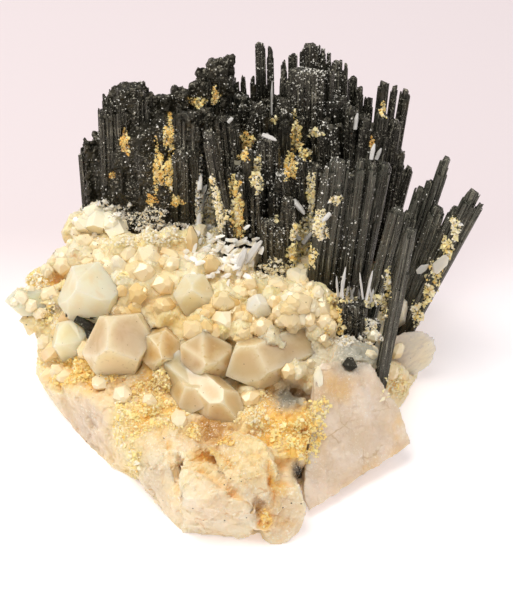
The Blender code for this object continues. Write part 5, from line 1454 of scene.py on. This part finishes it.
# Clear quartz, grown: glassy faces, white inside by its many small flaws.
needle_quartz, tree, surface, where = new_material("clear_quartz_needles")
cloud = add_node(tree, "TexNoise", {"Scale": pattern_scale(1.5), "Detail": 3.0}, {"Vector": where})
quartz_surface(tree, surface, two_colours(tree, cloud.outputs["Fac"], "#FFFFFF", "#E8E4DC"), 0.06, 0.0)
surface.inputs["Transmission Weight"].default_value = 0.25
fine_relief(tree, surface, where, (0.7, 0.3), 0.04, 0.4)
fasten(needles, "quartz_white", needle_quartz)

# White quartz, grown in fine ridges: a satin face with wavy cream lines.
platelet_quartz, tree, surface, where = new_material("white_ridged_quartz_platelets")
lines = {"Scale": pattern_scale(6.0), "Distortion": 6.0, "Detail": 3.0}
lines = add_node(tree, "TexWave", lines, {"Vector": where}).outputs["Fac"]
quartz_surface(tree, surface, two_colours(tree, lines, "#FFFFFA", "#FAF0DE"), 0.22, 0.2, 0.3)
fine_relief(tree, surface, where, (0.5, 0.25), 0.06, 0.5)
fasten(platelets, "quartz_white", platelet_quartz)


# The floor and the light. A plain sheet of pale paper, one broad soft light from the upper left
# and behind, and light from all round.
FLOOR_REACH = 1.6
FAR_SIDE = 62 * MM
floor_mesh = bpy.data.meshes.new("floor")
floor_corners = [(x * FLOOR_REACH, y * FLOOR_REACH, 0.0) for x, y in ((-1, -1), (1, -1), (1, 1), (-1, 1))]
floor_mesh.from_pydata(floor_corners, [], [(0, 1, 2, 3)])
floor = into_scene("floor", floor_mesh)

# Matt white paper with a pinkish cast. It glows a little, which fills its shadows, and it and its
# glow are greyer on its far side: painted falloff of the light.
paper, tree, surface, where = new_material("matt_paper_pinkish_white")
split = add_node(tree, "SeparateXYZ", {}, {"Vector": where})
far = stepped(tree, split.outputs["Y"], 0.0, FAR_SIDE)
tree.links.new(two_colours(tree, far, "#FDFAFE", "#DBD1D5"), surface.inputs["Base Color"])
tree.links.new(two_colours(tree, far, "#FFFBFD", "#ABA3A7"), surface.inputs["Emission Color"])
set_values(surface, {"Roughness": 0.8, "Specular IOR Level": 0.2, "Emission Strength": 0.30})
floor_mesh.materials.append(paper)
floor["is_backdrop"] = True

# Square soft lights: name, place, size, power and colour. All look at the specimen's foot.
LIGHTS = (
    ("soft light above", (-0.12, -0.12, 0.62), 0.34, 2.35, "#FFFAF0"),
    ("soft light behind left", (-0.42, 0.22, 0.52), 0.24, 1.3, "#FFFAF2"),
    ("soft light right", (0.45, 0.02, 0.45), 0.4, 0.5, "#FFFFFF"),
)
LOOK_AT = Vector((0, 0, 0.02))
for name, place, size, power, colour in LIGHTS:
    lamp = bpy.data.lights.new(name, "AREA")
    lamp.size, lamp.energy, lamp.color = size, power, linear(colour)[:3]
    light = into_scene(name, lamp)
    light.location = place
    light.rotation_euler = (LOOK_AT - Vector(place)).to_track_quat("-Z", "Y").to_euler()
world = bpy.data.worlds.new("pale room")
world.use_nodes = True
set_values(world.node_tree.nodes["Background"], {"Color": linear("#FFFBFD"), "Strength": 0.40})
bpy.context.scene.world = world
